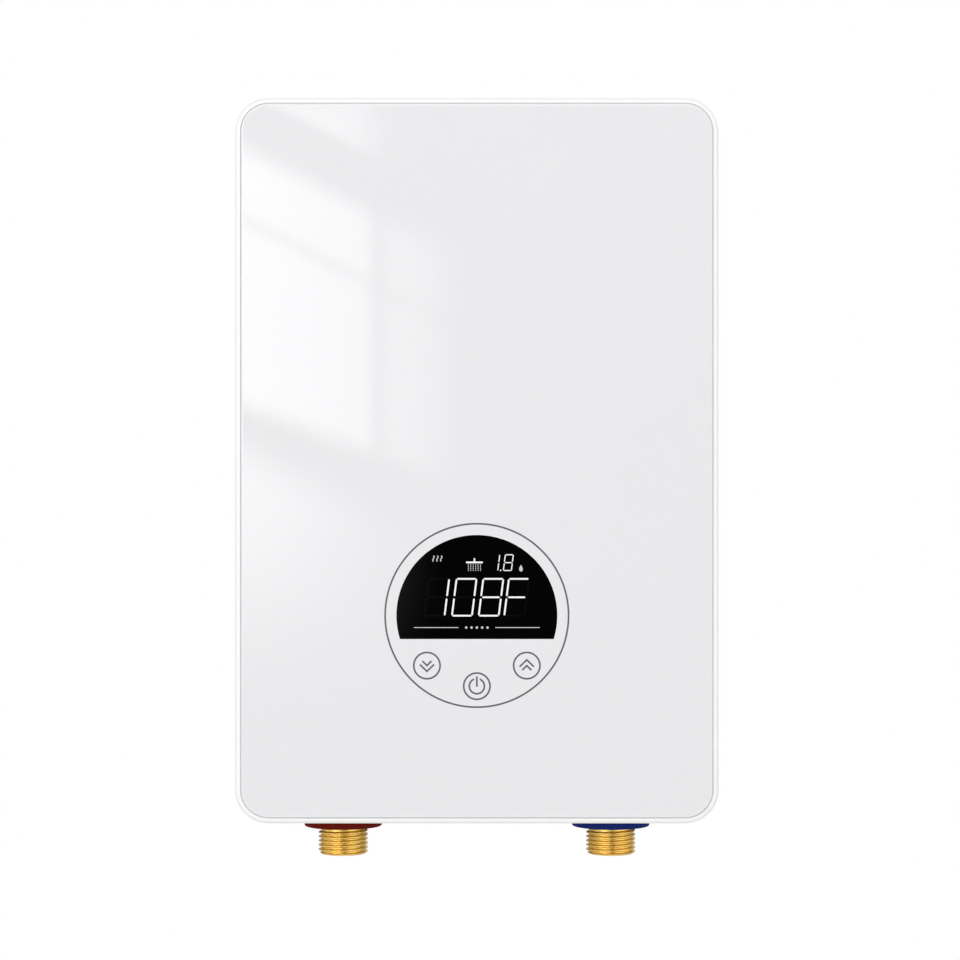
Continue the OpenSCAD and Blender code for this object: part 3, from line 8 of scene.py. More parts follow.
# %% Load the solids
import json
import bmesh
import bpy
import numpy as np
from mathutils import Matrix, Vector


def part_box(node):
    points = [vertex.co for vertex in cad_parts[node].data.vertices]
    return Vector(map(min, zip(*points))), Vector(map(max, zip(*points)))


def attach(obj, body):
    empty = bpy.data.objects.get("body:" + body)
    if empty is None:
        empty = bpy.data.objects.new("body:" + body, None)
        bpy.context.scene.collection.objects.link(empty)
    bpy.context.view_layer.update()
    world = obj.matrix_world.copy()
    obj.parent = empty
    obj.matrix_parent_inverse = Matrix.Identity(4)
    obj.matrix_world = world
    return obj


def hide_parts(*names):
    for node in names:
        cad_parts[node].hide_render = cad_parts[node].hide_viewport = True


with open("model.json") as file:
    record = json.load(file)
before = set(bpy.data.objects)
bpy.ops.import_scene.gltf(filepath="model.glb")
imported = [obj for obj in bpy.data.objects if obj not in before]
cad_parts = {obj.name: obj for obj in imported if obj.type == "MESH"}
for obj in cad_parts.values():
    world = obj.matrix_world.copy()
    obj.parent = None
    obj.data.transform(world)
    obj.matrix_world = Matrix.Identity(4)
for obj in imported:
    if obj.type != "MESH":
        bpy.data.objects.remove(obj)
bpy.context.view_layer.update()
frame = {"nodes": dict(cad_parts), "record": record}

# Blender works in metres here, and the sizes below are in millimetres
MM = 0.001

# %% [markdown]
# ## The camera
# The heater was photographed square from the front, from about a metre away with a long lens, so its sides
# hardly show. A constraint could aim the camera at the case, but a plain place and a quarter turn about X
# are easier to check: the lens looks along +Y, level, a little below the middle of the case.

# %% Camera
camera_at = np.array([1.3, -1170.0, -8.0])
camera_data = bpy.data.cameras.new("front_camera")
camera_data.sensor_width = 36
camera_data.lens = 99.95
camera = bpy.data.objects.new("front_camera", camera_data)
camera.location = camera_at * MM
camera.rotation_euler = (np.pi / 2, 0, 0)
scene = bpy.context.scene
scene.collection.objects.link(camera)
scene.camera = camera
print("camera", camera.location[:], "lens", camera_data.lens, "mm")

# %% [markdown]
# ## White surroundings
# The picture has a pure white background, yet white light from everywhere would wash the case out. Light
# Path solves that: rays that the camera, a mirror or a pane sends out meet white at strength 1, and all
# others meet a dimmer sky, which leaves room for lamps. One helper adds every node of this file.

# %% World
SKY_WHITE = 1.0
SKY_LIGHT = 0.48


def add(tree, kind, inputs=(), **settings):
    """One node: settings are its properties, and inputs its sockets by name or number, each given a value
    or the output that feeds it."""
    node = tree.nodes.new("ShaderNode" + kind)
    for name, value in settings.items():
        setattr(node, name, value)
    for socket, value in dict(inputs).items():
        if isinstance(value, bpy.types.NodeSocket):
            tree.links.new(value, node.inputs[socket])
        else:
            node.inputs[socket].default_value = value
    return node


def seen_directly(tree):
    """1 for rays from the camera, a mirror or a pane, 0 for the rays that carry light between surfaces."""
    path = add(tree, "LightPath").outputs
    mirror = add(tree, "Math", {0: path["Is Camera Ray"], 1: path["Is Glossy Ray"]}, operation="MAXIMUM")
    return add(tree, "Math", {0: mirror.outputs[0], 1: path["Is Transmission Ray"]}, operation="MAXIMUM")


scene.view_settings.view_transform = "Standard"
world = bpy.data.worlds.new("white_studio")
world.use_nodes = True
world.node_tree.nodes.clear()
scene.world = world
sky = world.node_tree
strength = add(sky, "MapRange", {0: seen_directly(sky).outputs[0], 3: SKY_LIGHT, 4: SKY_WHITE})
background = add(sky, "Background", {"Color": (1, 1, 1, 1), "Strength": strength.outputs[0]})
add(sky, "OutputWorld", {"Surface": background.outputs[0]})
print("world", world.name, "light", SKY_LIGHT, "seen", SKY_WHITE)

# %% [markdown]
# ## Lamps
# A flat white front needs even light, and the case needs a little shape. Three soft boxes do it: a key from
# the upper left, a weaker fill from the right, and one behind for the views of the back. An area lamp's
# power is spread over its face, so a large one gives soft shadows, and a glossy skin mirrors it as a mild
# glow and not as a hot spot.

# %% Soft boxes
from mathutils import Vector


def soft_box(name, place, size, watts):
    """A square area lamp of a given side in metres, aimed at the middle of the case."""
    data = bpy.data.lights.new(name, "AREA")
    data.size = size
    data.energy = watts
    lamp = bpy.data.objects.new(name, data)
    lamp.location = place
    lamp.rotation_euler = (-Vector(place)).to_track_quat("-Z", "Y").to_euler()
    scene.collection.objects.link(lamp)
    return lamp


# Name, place and side in metres, watts
lamps = [
    soft_box("key_box", (-0.85, -1.9, 0.7), 2.8, 34),
    soft_box("fill_box", (1.5, -1.1, 0.4), 1.8, 8),
    soft_box("back_box", (0.6, 1.8, 0.6), 2.2, 13),
]
print("lamps", [lamp.name for lamp in lamps])

# %% [markdown]
# ## Grids of points
# Every new piece is a surface worked out with numpy: rows and columns of points, with quads between
# neighbours. A direction that runs round a piece wraps, its last line joining its first. Merging doubles
# then closes seams and poles, and recalculating the normals turns every face outwards. Building the same
# shapes with Blender's add and extrude operators would work too, but a formula stays readable.

# %% Mesh helpers
# Points closer than this, in mm, become one point
MERGE = 0.0005


def grid_quads(rows, columns, wrap_rows, wrap_columns):
    """Corners of each quad in a grid whose points are numbered row by row."""
    row, column = np.meshgrid(
        np.arange(rows if wrap_rows else rows - 1),
        np.arange(columns if wrap_columns else columns - 1),
        indexing="ij",
    )
    below, beside = (row + 1) % rows, (column + 1) % columns
    corners = [(row, column), (row, beside), (below, beside), (below, column)]
    return np.stack([r * columns + c for r, c in corners], -1).reshape(-1, 4)


def surface(name, patches, crease=35, lay=None):
    """One mesh object from patches, each a grid of points in mm and its two wrap flags. Edges that turn by
    more than the crease angle stay sharp, and all else is shaded smooth. Lay is a vector for each point,
    which a finish can read as an attribute."""
    points = [np.asarray(grid, float).reshape(-1, 3) for grid, *_ in patches]
    first = np.cumsum([0] + [len(p) for p in points[:-1]])
    quads = [grid_quads(*grid.shape[:2], *wraps) + start for (grid, *wraps), start in zip(patches, first)]
    mesh = bpy.data.meshes.new(name)
    mesh.from_pydata(np.concatenate(points) * MM, [], np.concatenate(quads))
    if lay is not None:
        mesh.attributes.new("lay", "FLOAT_VECTOR", "POINT").data.foreach_set("vector", np.ravel(lay))
    shell = bmesh.new()
    shell.from_mesh(mesh)
    bmesh.ops.remove_doubles(shell, verts=shell.verts, dist=MERGE * MM)
    bmesh.ops.recalc_face_normals(shell, faces=shell.faces)
    shell.to_mesh(mesh)
    shell.free()
    mesh.polygons.foreach_set("use_smooth", np.ones(len(mesh.polygons), bool))
    mesh.set_sharp_from_angle(angle=np.radians(crease))
    made = bpy.data.objects.new(name, mesh)
    scene.collection.objects.link(made)
    return made


print("two closed rows of 4 points make", len(grid_quads(2, 4, False, True)), "quads")


# %% Dressing a piece
def dress(piece, body, slot, finish, *solids):
    """Gives a piece its finish, makes it ride on a body, and hides the solids it stands for. The slot is not
    used.
    """
    piece.data.materials.append(finish)
    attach(piece, body)
    if solids:
        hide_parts(*solids)
    print(piece.name, len(piece.data.polygons), "faces on", body)
    return piece


# %% [markdown]
# ## Floor
# The heater hangs on a wall at about chest height, so the floor lies 1.2 m below it, out of the picture, and
# throws soft light up at the underside. Far from the lamps its pale paint would look grey and end in a hard
# line. A glow that the lighting rays don't see lifts it towards the white surroundings, more with distance,
# so that its edge vanishes.

# %% Colours and empty finishes
def paint(code):
    """Linear colour of an sRGB hex value: c / 12.92 up to 0.04045, above it ((c + 0.055) / 1.055) ^ 2.4."""
    srgb = np.array([int(code[i:i + 2], 16) for i in (0, 2, 4)]) / 255
    return (*np.where(srgb <= 0.04045, srgb / 12.92, ((srgb + 0.055) / 1.055) ** 2.4), 1.0)


def new_finish(name):
    """An empty material with its tree and its Object coordinates."""
    finish = bpy.data.materials.new(name)
    finish.use_nodes = True
    finish.node_tree.nodes.clear()
    return finish, finish.node_tree, add(finish.node_tree, "TexCoord").outputs["Object"]


print("half grey on the screen is", round(paint("808080")[0], 3), "in linear light")

# %% Floor
FLOOR_Z = -1200.0
FLOOR_HALF = 4000.0
# Distances in metres between which the floor fades to white, and how bright it is before them
FADE_FROM, FADE_TO = 1.4, 3.9
FLOOR_LIFT = 0.42
# Pale floor paint, rolled and matt: it scatters the light and mirrors nothing
floor_paint, tree, place = new_finish("matt_floor_paint")
away = add(tree, "VectorMath", {0: place}, operation="LENGTH")
fade = {0: away.outputs["Value"], 1: FADE_FROM, 2: FADE_TO, 3: FLOOR_LIFT, 4: SKY_WHITE}
fade = add(tree, "MapRange", fade, interpolation_type="SMOOTHSTEP")
seen = seen_directly(tree)
lift = add(tree, "Math", {0: fade.outputs[0], 1: seen.outputs[0]}, operation="MULTIPLY")
shader = add(tree, "BsdfPrincipled", {
    "Base Color": paint("F1F1F0"), "Roughness": 0.9, "Specular IOR Level": 0.0,
    "Emission Color": (1, 1, 1, 1), "Emission Strength": lift.outputs[0],
})
add(tree, "OutputMaterial", {"Surface": shader.outputs[0]})
ends = np.array([-FLOOR_HALF, FLOOR_HALF])
across, along = np.meshgrid(ends, ends)
floor = surface("floor", [(np.stack([across, along, np.full((2, 2), FLOOR_Z)], -1), False, False)])
floor.data.materials.append(floor_paint)
print("floor at", FLOOR_Z, "mm")

# %% [markdown]
# ## What the glass mirrors
# The front glass faces the camera, so it mirrors the room behind it: a dim room with a window at the upper
# left, whose bars cross the bright panes. A card behind the camera stands for that room. Only mirror rays
# see it, so it lights nothing. Each point of the glass sees one point of the card, on the line from the
# camera's mirror image through that point, so the card's pattern is drawn in the glass's own millimetres.
# A second card stands for the wall in the heater's shade, which darkens the edges of the brass.

# %% Mirrored window
GLASS_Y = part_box("front_glass")[0].y / MM
# The glass's upper left corner, and how steeply the bars and the foot of the panes slope
GLASS_LEFT, GLASS_TOP = -97, 147
BAR_SLOPE, FOOT_SLOPE = 0.5, 0.14
# Edges of the panes, across the glass or down it: where each lies, and how soft it is, in mm
LEFT_TO, MIDDLE_FROM, MIDDLE_TO = (-43, 5), (-39, 4), (-16, 12)
TOP_TO, TOP_FOOT = (-44, 12), (-6, 3)
PANES_FROM, PANES_FOOT = (18, 7), (124, 7)
BAR_FROM, BAR_FOOT = (44.5, 3.5), (50, 4)
FAINT_FROM, FAINT_FOOT, FAINT_TO = (142, 12), (205, 45), (-58, 45)
# How bright the other stretches are beside the left panes
TOP_SHARE, MIDDLE_SHARE, FAINT_SHARE = 0.55, 0.36, 0.7
# What the bar takes from the panes, and what the left ones lose with each mm to the right
BAR_SHADE, FADE = 0.45, 0.35 / 60


def soft_step(value, edge, blur):
    """0 below an edge and 1 above it, eased over a blur on both sides."""
    t = np.clip((value - edge) / (2 * blur) + 0.5, 0, 1)
    return t * t * (3 - 2 * t)


def between(value, start, end):
    """1 between two soft edges, and 0 beyond them."""
    return soft_step(value, *start) * (1 - soft_step(value, *end))


def window_glow(x, z):
    """How bright the mirrored window is at a point of the glass: panes lie between sloping bars and left of
    upright ones, and fade to the right and downwards. Down is how far a point lies below the sloping line
    through the upper left corner."""
    across, below = x - GLASS_LEFT, GLASS_TOP - z
    down = below - BAR_SLOPE * across
    top_pane = (1 - soft_step(down, *TOP_FOOT)) * (1 - soft_step(x, *TOP_TO))
    faint = soft_step(down, *FAINT_FROM) * (1 - soft_step(below, *FAINT_FOOT))
    faint *= 1 - soft_step(x, *FAINT_TO)
    panes = soft_step(down, *PANES_FROM) * (1 - soft_step(down + FOOT_SLOPE * across, *PANES_FOOT))
    panes *= 1 - BAR_SHADE * between(down, BAR_FROM, BAR_FOOT)
    left = (1 - soft_step(x, *LEFT_TO)) * (1 - FADE * across)
    middle = MIDDLE_SHARE * between(x, MIDDLE_FROM, MIDDLE_TO)
    return TOP_SHARE * top_pane + FAINT_SHARE * faint + panes * (left + middle)


print("glow halfway down the left panes", round(float(window_glow(-80, 70)), 2))


# %% Mirror cards
def at_depth(flat, depth):
    """Points of an upright plane, given as X and Z, at a depth in front of the wall."""
    flat = np.asarray(flat, float)
    return np.stack([flat[..., 0], np.full(flat.shape[:-1], -depth), flat[..., 1]], -1)


def mirror_card(name, points, glow, cover):
    """A card that only mirrors see. The glow is its light, and the cover says how far it hides the white
    surroundings. Both are kept as attributes."""
    card = surface(name, [(points, False, False)])
    for kind, values in (("glow", glow), ("cover", cover)):
        values = np.broadcast_to(values, points.shape[:2])
        card.data.attributes.new(kind, "FLOAT", "POINT").data.foreach_set("value", values.ravel())
    card.visible_camera = card.visible_diffuse = card.visible_shadow = card.visible_transmission = False
    print(name, len(card.data.polygons), "faces, for mirrors alone")
    return card


# %% Room and wall
# The room card: its plane, the stretch of glass that it serves, and the spacing of its points, in mm
CARD_Y, CARD_SIDE, CARD_LOW, CARD_TOP, CARD_STEP = -1500.0, 230, -230, 190, 1.25
# Where it stops hiding the white surroundings, and how softly. At the foot it does so in two steps, and the
# far one has this share
SIDE_RIM, TOP_RIM = (200, 28), (168, 18)
FAR_FOOT, NEAR_FOOT, FAR_SHARE = (-205, 22), (-154.5, 2), 0.55
# The wall card: its plane and edges, its light, and where it fades
WALL_Y, WALL_SIDE, WALL_LOW, WALL_TOP = 12.0, 220, -260, -148
WALL_GLOW, WALL_COVER, WALL_FOOT = 0.06, 0.7, (-215, 40)


def room_card():
    """Glass points sent through the camera's mirror image to the card's plane, with a cover that fades at
    the rim."""
    mirrored = np.array([camera_at[0], 2 * GLASS_Y - camera_at[1], camera_at[2]])
    reach = (CARD_Y - mirrored[1]) / (GLASS_Y - mirrored[1])
    columns = np.arange(-CARD_SIDE, CARD_SIDE + CARD_STEP, CARD_STEP)
    x, z = np.meshgrid(columns, np.arange(CARD_LOW, CARD_TOP + CARD_STEP, CARD_STEP))
    glass = at_depth(np.stack([x, z], -1), -GLASS_Y)
    cover = (1 - soft_step(np.abs(x), *SIDE_RIM)) * (1 - soft_step(z, *TOP_RIM))
    cover *= FAR_SHARE * soft_step(z, *FAR_FOOT) + (1 - FAR_SHARE) * soft_step(z, *NEAR_FOOT)
    return mirror_card("room_card", mirrored + (glass - mirrored) * reach, window_glow(x, z), cover)


def wall_card():
    """A patch of wall just behind the fittings, whose cover fades downwards."""
    x, z = np.meshgrid(np.linspace(-WALL_SIDE, WALL_SIDE, 23), np.linspace(WALL_LOW, WALL_TOP, 15))
    wall = at_depth(np.stack([x, z], -1), -WALL_Y)
    return mirror_card("wall_card", wall, WALL_GLOW, WALL_COVER * soft_step(z, *WALL_FOOT))


cards = [room_card(), wall_card()]

# %% Dim room
ROOM_GLOW, WINDOW_GLOW = 0.01, 3.6
room, tree, _ = new_finish("dim_room")
glow = add(tree, "Attribute", attribute_name="glow")
cover = add(tree, "Attribute", attribute_name="cover")
level = add(tree, "MapRange", {0: glow.outputs["Fac"], 3: ROOM_GLOW, 4: WINDOW_GLOW})
light = add(tree, "Emission", {"Strength": level.outputs[0]})
clear = add(tree, "BsdfTransparent")
shader = add(tree, "MixShader", {0: cover.outputs["Fac"], 1: clear.outputs[0], 2: light.outputs[0]})
add(tree, "OutputMaterial", {"Surface": shader.outputs[0]})
for card in cards:
    card.data.materials.append(room)
print("room strength", ROOM_GLOW, "window strength", WINDOW_GLOW)

# %% [markdown]
# ## Moulded polymers
# Most of the heater is moulded: ABS for the case, nylon for the water parts, rubber and silicone for seals
# and sleeves. A moulding shows no grain of its own. What the eye reads is the etched skin of the steel tool,
# a slow drift of tone where the melt flowed, and how glossy the skin is. So one function serves them all,
# and what differs is tone, gloss and the grain's width. Grains under a third of a millimetre are drawn
# coarser than they are, or they would vanish in the render.

# %% Moulded skin
# Nearly all values of a noise pattern lie between these two
NOISE_LOW, NOISE_HIGH = 0.3, 0.7
MELT_CLOUD, GLOSS_SPREAD = 35, 0.05
finishes = {}


def per_metre(size):
    """The scale at which a noise pattern repeats about once in a size given in mm."""
    return 1 / (size * MM)


def clouded(tree, place, size, detail, body, shade):
    """Two close tones in slow clouds of a size in mm."""
    clouds = add(tree, "TexNoise", {"Vector": place, "Scale": per_metre(size), "Detail": detail})
    tones = {0: clouds.outputs["Fac"], 6: paint(body), 7: paint(shade)}
    return add(tree, "Mix", tones, data_type="RGBA").outputs[2]


def moulded(name, body, shade, gloss, grain, relief, ior=1.53, coat=0.0, mirror=0.5):
    """Two tones of one pigment in wide clouds. The tool's etched skin, of a grain and a relief in mm, breaks
    up the gloss and the light. The mirror share is 0.5 on a clean skin and less on a dusted one."""
    finish, tree, place = new_finish(name)
    tone = clouded(tree, place, MELT_CLOUD, 3, body, shade)
    skin = add(tree, "TexNoise", {"Vector": place, "Scale": per_metre(grain), "Detail": 4, "Roughness": 0.6})
    skin = skin.outputs["Fac"]
    low, high = gloss - GLOSS_SPREAD, gloss + GLOSS_SPREAD
    rough = add(tree, "MapRange", {0: skin, 1: NOISE_LOW, 2: NOISE_HIGH, 3: low, 4: high})
    bump = add(tree, "Bump", {"Height": skin, "Distance": relief * MM})
    shader = add(tree, "BsdfPrincipled", {
        "Base Color": tone, "Roughness": rough.outputs[0], "IOR": ior, "Normal": bump.outputs[0],
        "Specular IOR Level": mirror, "Coat Weight": coat, "Coat Roughness": 0.08,
    })
    add(tree, "OutputMaterial", {"Surface": shader.outputs[0]})
    return finish


print("a grain of 0.5 mm has the noise scale", per_metre(0.5))

# %% Case and collar finishes
# Each finish has a name, two tones, a gloss, and the grain and relief of its skin
# White ABS, satin: a bright even skin with a soft broad highlight
finishes["white_case"] = moulded("moulded_white_abs", "F6F6F5", "F2F2F0", 0.36, 0.5, 0.006)
# Dyed silicone collars under the case: deep colour, and a dull dusted skin that hardly mirrors
DUSTED = dict(gloss=0.75, grain=0.6, relief=0.006, ior=1.41, mirror=0.15)
finishes["red_collar"] = moulded("moulded_red_silicone", "681103", "5C0E02", **DUSTED)
finishes["blue_collar"] = moulded("moulded_blue_silicone", "142870", "102062", **DUSTED)
print("case and collars:", [finish.name for finish in finishes.values()])

# %% Hard polymer finishes
# Undyed nylon: the milky cream of sockets and terminal blocks
finishes["natural_nylon"] = moulded("moulded_natural_nylon", "EDE6D4", "E2D9C2", 0.38, 0.5, 0.008)
# Nylon dyed pale blue, for the flow wheel: clean and a little waxy
finishes["blue_nylon"] = moulded("moulded_pale_blue_nylon", "7FB2DC", "6CA2D0", 0.32, 0.5, 0.006)
# Glass-filled nylon: nearly black, with the dull mottle of fibres at the skin
finishes["dark_nylon"] = moulded("moulded_glass_filled_nylon", "2B2D30", "3A3C40", 0.5, 0.4, 0.02)
# Urea reset button: a clear warning red
finishes["red_button"] = moulded("moulded_red_urea", "C2261C", "B01E16", 0.22, 0.8, 0.004)
# Relay case: blue polyester, glossy
finishes["relay_blue"] = moulded("moulded_blue_polyester", "1F4FA6", "1A4392", 0.25, 0.6, 0.006)
# Box of the line capacitor: yellow polyester with a resin fill
finishes["film_capacitor"] = moulded("moulded_yellow_polyester", "D9A521", "C79314", 0.35, 0.5, 0.012)
print(len(finishes), "moulded finishes so far")

# %% Seal, insulator and sleeve finishes
# EPDM rubber: soot-black, dull, faintly bloomed
finishes["black_rubber"] = moulded("moulded_black_rubber", "1B1B1C", "262628", 0.62, 0.4, 0.02, ior=1.52)
# Silicone: soft grey, a waxy broad shine
finishes["grey_silicone"] = moulded("moulded_grey_silicone", "8E9194", "838689", 0.5, 0.6, 0.01, ior=1.41)
# Steatite insulators: fired white ceramic under a thin glaze
finishes["ceramic"] = moulded("glazed_steatite", "F1EADB", "E6DDCB", 0.4, 0.8, 0.015, ior=1.6, coat=0.6)
# Pressed fibre washers: brick red paper board with a felted skin
finishes["fibre_washer"] = moulded("pressed_red_fibre", "8C3B2A", "742E20", 0.75, 0.35, 0.05, ior=1.5)
# Foam tape that holds the glass: dark grey, open cells, no shine
finishes["grey_tape"] = moulded("foam_tape", "4A4B4D", "3D3E40", 0.85, 0.5, 0.08, ior=1.45)
# Sleeves of the leads: red silicone with a waxy shine, and grey vinyl, which is a little harder
finishes["red_silicone_lead"] = moulded("silicone_sleeve_red", "A8231C", "981C16", 0.42, 0.7, 0.01, ior=1.43)
finishes["grey_lead"] = moulded("vinyl_sleeve_grey", "6E7073", "646669", 0.4, 0.7, 0.008, ior=1.53)
print(len(finishes), "moulded finishes")

# %% [markdown]
# ## Worked metals
# A metal's colour is in its reflection, so it keeps its default IOR and turns fully metallic. What tells
# brass turned on a lathe from drawn steel tube or extruded aluminium is the direction of the fine scratches
# that the tool left. Noise stretched along one axis draws them, and slow clouds dull the tone a little.

# %% Metal finishes
TARNISH_CLOUD = 12
SMOOTHER, ROUGHER = 0.06, 0.08


def worked_metal(name, body, dulled, gloss, mark, stretch, relief):
    """Scratches a mark wide in mm, stretched along X, Y and Z by the given factors, vary the roughness and
    the slope. Clouds mix the clean tone with the dulled one."""
    finish, tree, place = new_finish(name)
    tone = clouded(tree, place, TARNISH_CLOUD, 5, body, dulled)
    streaks = add(tree, "Mapping", {"Vector": place, "Scale": [1 / factor for factor in stretch]})
    marks = add(tree, "TexNoise", {"Vector": streaks.outputs[0], "Scale": per_metre(mark), "Detail": 5})
    marks = marks.outputs["Fac"]
    low, high = gloss - SMOOTHER, gloss + ROUGHER
    rough = add(tree, "MapRange", {0: marks, 1: NOISE_LOW, 2: NOISE_HIGH, 3: low, 4: high})
    bump = add(tree, "Bump", {"Height": marks, "Distance": relief * MM})
    shader = add(tree, "BsdfPrincipled", {
        "Base Color": tone, "Metallic": 1.0, "Roughness": rough.outputs[0], "Normal": bump.outputs[0],
    })
    add(tree, "OutputMaterial", {"Surface": shader.outputs[0]})
    return finish


# Each finish has a name, two tones, a gloss, the width and stretch of its marks, and their relief
# Free-cutting brass, turned: warm yellow, rings of the tool round its axis
finishes["brass"] = worked_metal("turned_brass", "E6C874", "D7B158", 0.28, 0.3, (30, 30, 1), 0.002)
# Stainless tube, drawn and pickled: cool grey, dull streaks along its length
finishes["stainless"] = worked_metal("drawn_stainless", "C4C5C6", "B4B6B8", 0.3, 0.4, (1, 1, 25), 0.0015)
# Screws: bright zinc plate with a bluish passivated skin
finishes["zinc_screws"] = worked_metal("zinc_plated_steel", "C9CCD2", "B4B8C1", 0.28, 0.4, (1, 6, 1), 0.003)
# Blades, lugs and nuts: hot tinned copper, soft and slightly frosted
finishes["tinned_copper"] = worked_metal("tinned_copper", "CFCDC6", "BAB7AE", 0.35, 0.5, (2, 2, 2), 0.004)
# Heat sink: extruded aluminium, die lines along its length
finishes["aluminium"] = worked_metal("extruded_aluminium", "D3D5D7", "C2C4C7", 0.34, 0.35, (1, 1, 30), 0.003)
print("metals:", finishes["brass"].name, finishes["stainless"].name, finishes["aluminium"].name)

# %% [markdown]
# ## Circuit boards and wound parts
# A board is glass cloth under green lacquer. Etched tracks show through it as paler lines, in patches that
# run one way or the other, and tinned pads shine between them. Wave bands draw the tracks, a random value
# for each patch picks their direction, and the dots of a Voronoi pattern are the pads. The transformer and
# the capacitors are wrapped in tape and sleeve, whose laps are wave bands too.

# %% Board finish
# A wave pattern of scale 1 has a band every 0.314 units
BAND = 0.314
TRACK_PATCH, TRACK_PITCH, PAD_PITCH, COPPER_RISE = 9.0, 1.3, 4.2, 0.04
# The share of level patches, and the pattern's values between which a track and a pad begin
LEVEL_SHARE, TRACK_EDGE, PAD_EDGE = 0.55, (0.55, 0.7), (0.17, 0.13)


def lacquered_board(name, lacquer, over_copper, tin):
    """Tracks at their pitch, level or upright from patch to patch, with pads between them. Copper and pads
    stand proud."""
    finish, tree, place = new_finish(name)
    patch = add(tree, "VectorMath", {0: place, 1: [TRACK_PATCH * MM] * 3}, operation="SNAP")
    pick = add(tree, "TexWhiteNoise", {"Vector": patch.outputs[0]})
    upright = add(tree, "Math", {0: pick.outputs["Value"], 1: LEVEL_SHARE}, operation="GREATER_THAN")
    bands = {"Vector": place, "Scale": BAND * per_metre(TRACK_PITCH)}
    level = add(tree, "TexWave", bands, bands_direction="Z")
    plumb = add(tree, "TexWave", bands, bands_direction="X")
    lines = add(tree, "Mix", {0: upright.outputs[0], 2: level.outputs["Fac"], 3: plumb.outputs["Fac"]})
    track = add(tree, "MapRange", {0: lines.outputs[0], 1: TRACK_EDGE[0], 2: TRACK_EDGE[1]})
    dots = add(tree, "TexVoronoi", {"Vector": place, "Scale": per_metre(PAD_PITCH), "Randomness": 0.75})
    pad = add(tree, "MapRange", {0: dots.outputs["Distance"], 1: PAD_EDGE[0], 2: PAD_EDGE[1]})
    greens = {0: track.outputs[0], 6: paint(lacquer), 7: paint(over_copper)}
    green = add(tree, "Mix", greens, data_type="RGBA")
    tone = add(tree, "Mix", {0: pad.outputs[0], 6: green.outputs[2], 7: paint(tin)}, data_type="RGBA")
    proud = add(tree, "Math", {0: track.outputs[0], 1: pad.outputs[0]}, operation="MAXIMUM")
    bump = add(tree, "Bump", {"Height": proud.outputs[0], "Distance": COPPER_RISE * MM})
    shader = add(tree, "BsdfPrincipled", {
        "Base Color": tone.outputs[2], "Metallic": pad.outputs[0], "Roughness": 0.32, "IOR": 1.55,
        "Normal": bump.outputs[0], "Coat Weight": 0.5, "Coat Roughness": 0.15,
    })
    add(tree, "OutputMaterial", {"Surface": shader.outputs[0]})
    return finish


# Epoxy board under green lacquer: a glossy green with paler tracks and bright pads
finishes["green_board"] = lacquered_board("lacquered_epoxy_board", "0F4A2A", "1F6B3C", "C9C6BC")
print("board:", finishes["green_board"].name)

# %% Winding finishes
LAP_RISE = 0.05


def wound(name, body, edge, width, gloss):
    """Turns of tape or sleeve a width apart in mm: bands along X, darker where one turn laps the next."""
    finish, tree, place = new_finish(name)
    bands = {"Vector": place, "Scale": BAND * per_metre(width), "Distortion": 0.4}
    turns = add(tree, "TexWave", bands, bands_direction="X", wave_profile="SAW").outputs["Fac"]
    tone = add(tree, "Mix", {0: turns, 6: paint(edge), 7: paint(body)}, data_type="RGBA")
    bump = add(tree, "Bump", {"Height": turns, "Distance": LAP_RISE * MM})
    shader = add(tree, "BsdfPrincipled", {
        "Base Color": tone.outputs[2], "Roughness": gloss, "IOR": 1.6, "Normal": bump.outputs[0],
    })
    add(tree, "OutputMaterial", {"Surface": shader.outputs[0]})
    return finish


# Polyester tape round the transformer, in amber turns that lap, and the tight dark sleeve of the capacitors
finishes["winding_tape"] = wound("polyester_winding_tape", "E3C65A", "C9A93C", 3.0, 0.28)
finishes["capacitor_sleeve"] = wound("shrunk_vinyl_sleeve", "2A2E52", "242848", 6.0, 0.3)
print("windings:", finishes["winding_tape"].name, finishes["capacitor_sleeve"].name)

# %% [markdown]
# ## Glass, ink and light
# The front is float glass painted white on its back. Seen from the front, that is a white body under a
# perfectly smooth coat: the paint scatters, the glass mirrors. Real refraction would cost many samples for
# the same picture. Glass that was toughened on the rollers of a furnace is very slightly wavy, and that
# bends the mirrored window a little. Behind the smoked window the bars of the display glow.

# %% Glass and ink
PAINT_CLOUD, ROLLER_WAVE, WAVE_DEPTH = 60, 45, 0.0004


def under_glass(name, body, shade, wave=0.0):
    """Paint in two close tones behind a polished coat of glass. The rollers' waves, of a depth in mm, tilt
    the coat."""
    finish, tree, place = new_finish(name)
    tone = clouded(tree, place, PAINT_CLOUD, 2, body, shade)
    roll = add(tree, "TexNoise", {"Vector": place, "Scale": per_metre(ROLLER_WAVE), "Detail": 1})
    tilt = add(tree, "Bump", {"Height": roll.outputs["Fac"], "Distance": wave * MM})
    shader = add(tree, "BsdfPrincipled", {
        "Base Color": tone, "Roughness": 0.6, "Specular IOR Level": 0.0,
        "Coat Weight": 1.0, "Coat Roughness": 0.015, "Coat IOR": 1.52, "Coat Normal": tilt.outputs[0],
    })
    add(tree, "OutputMaterial", {"Surface": shader.outputs[0]})
    return finish


# Back-painted float glass, and the smoked window in it: a hard shine over white and over black
finishes["front_glass"] = under_glass("back_painted_glass", "E9E9EB", "E8E8EA", WAVE_DEPTH)
finishes["display_black"] = under_glass("smoked_display_glass", "030303", "040405", WAVE_DEPTH)
# Printed film and grey screen ink, flat and even under the shine of the glass
finishes["white_print"] = under_glass("screen_printed_film", "E9E9EB", "E6E6E8")
grey_ink = under_glass("grey_screen_ink", "626366", "6A6B6F")
print("front:", finishes["front_glass"].name, finishes["display_black"].name, grey_ink.name)

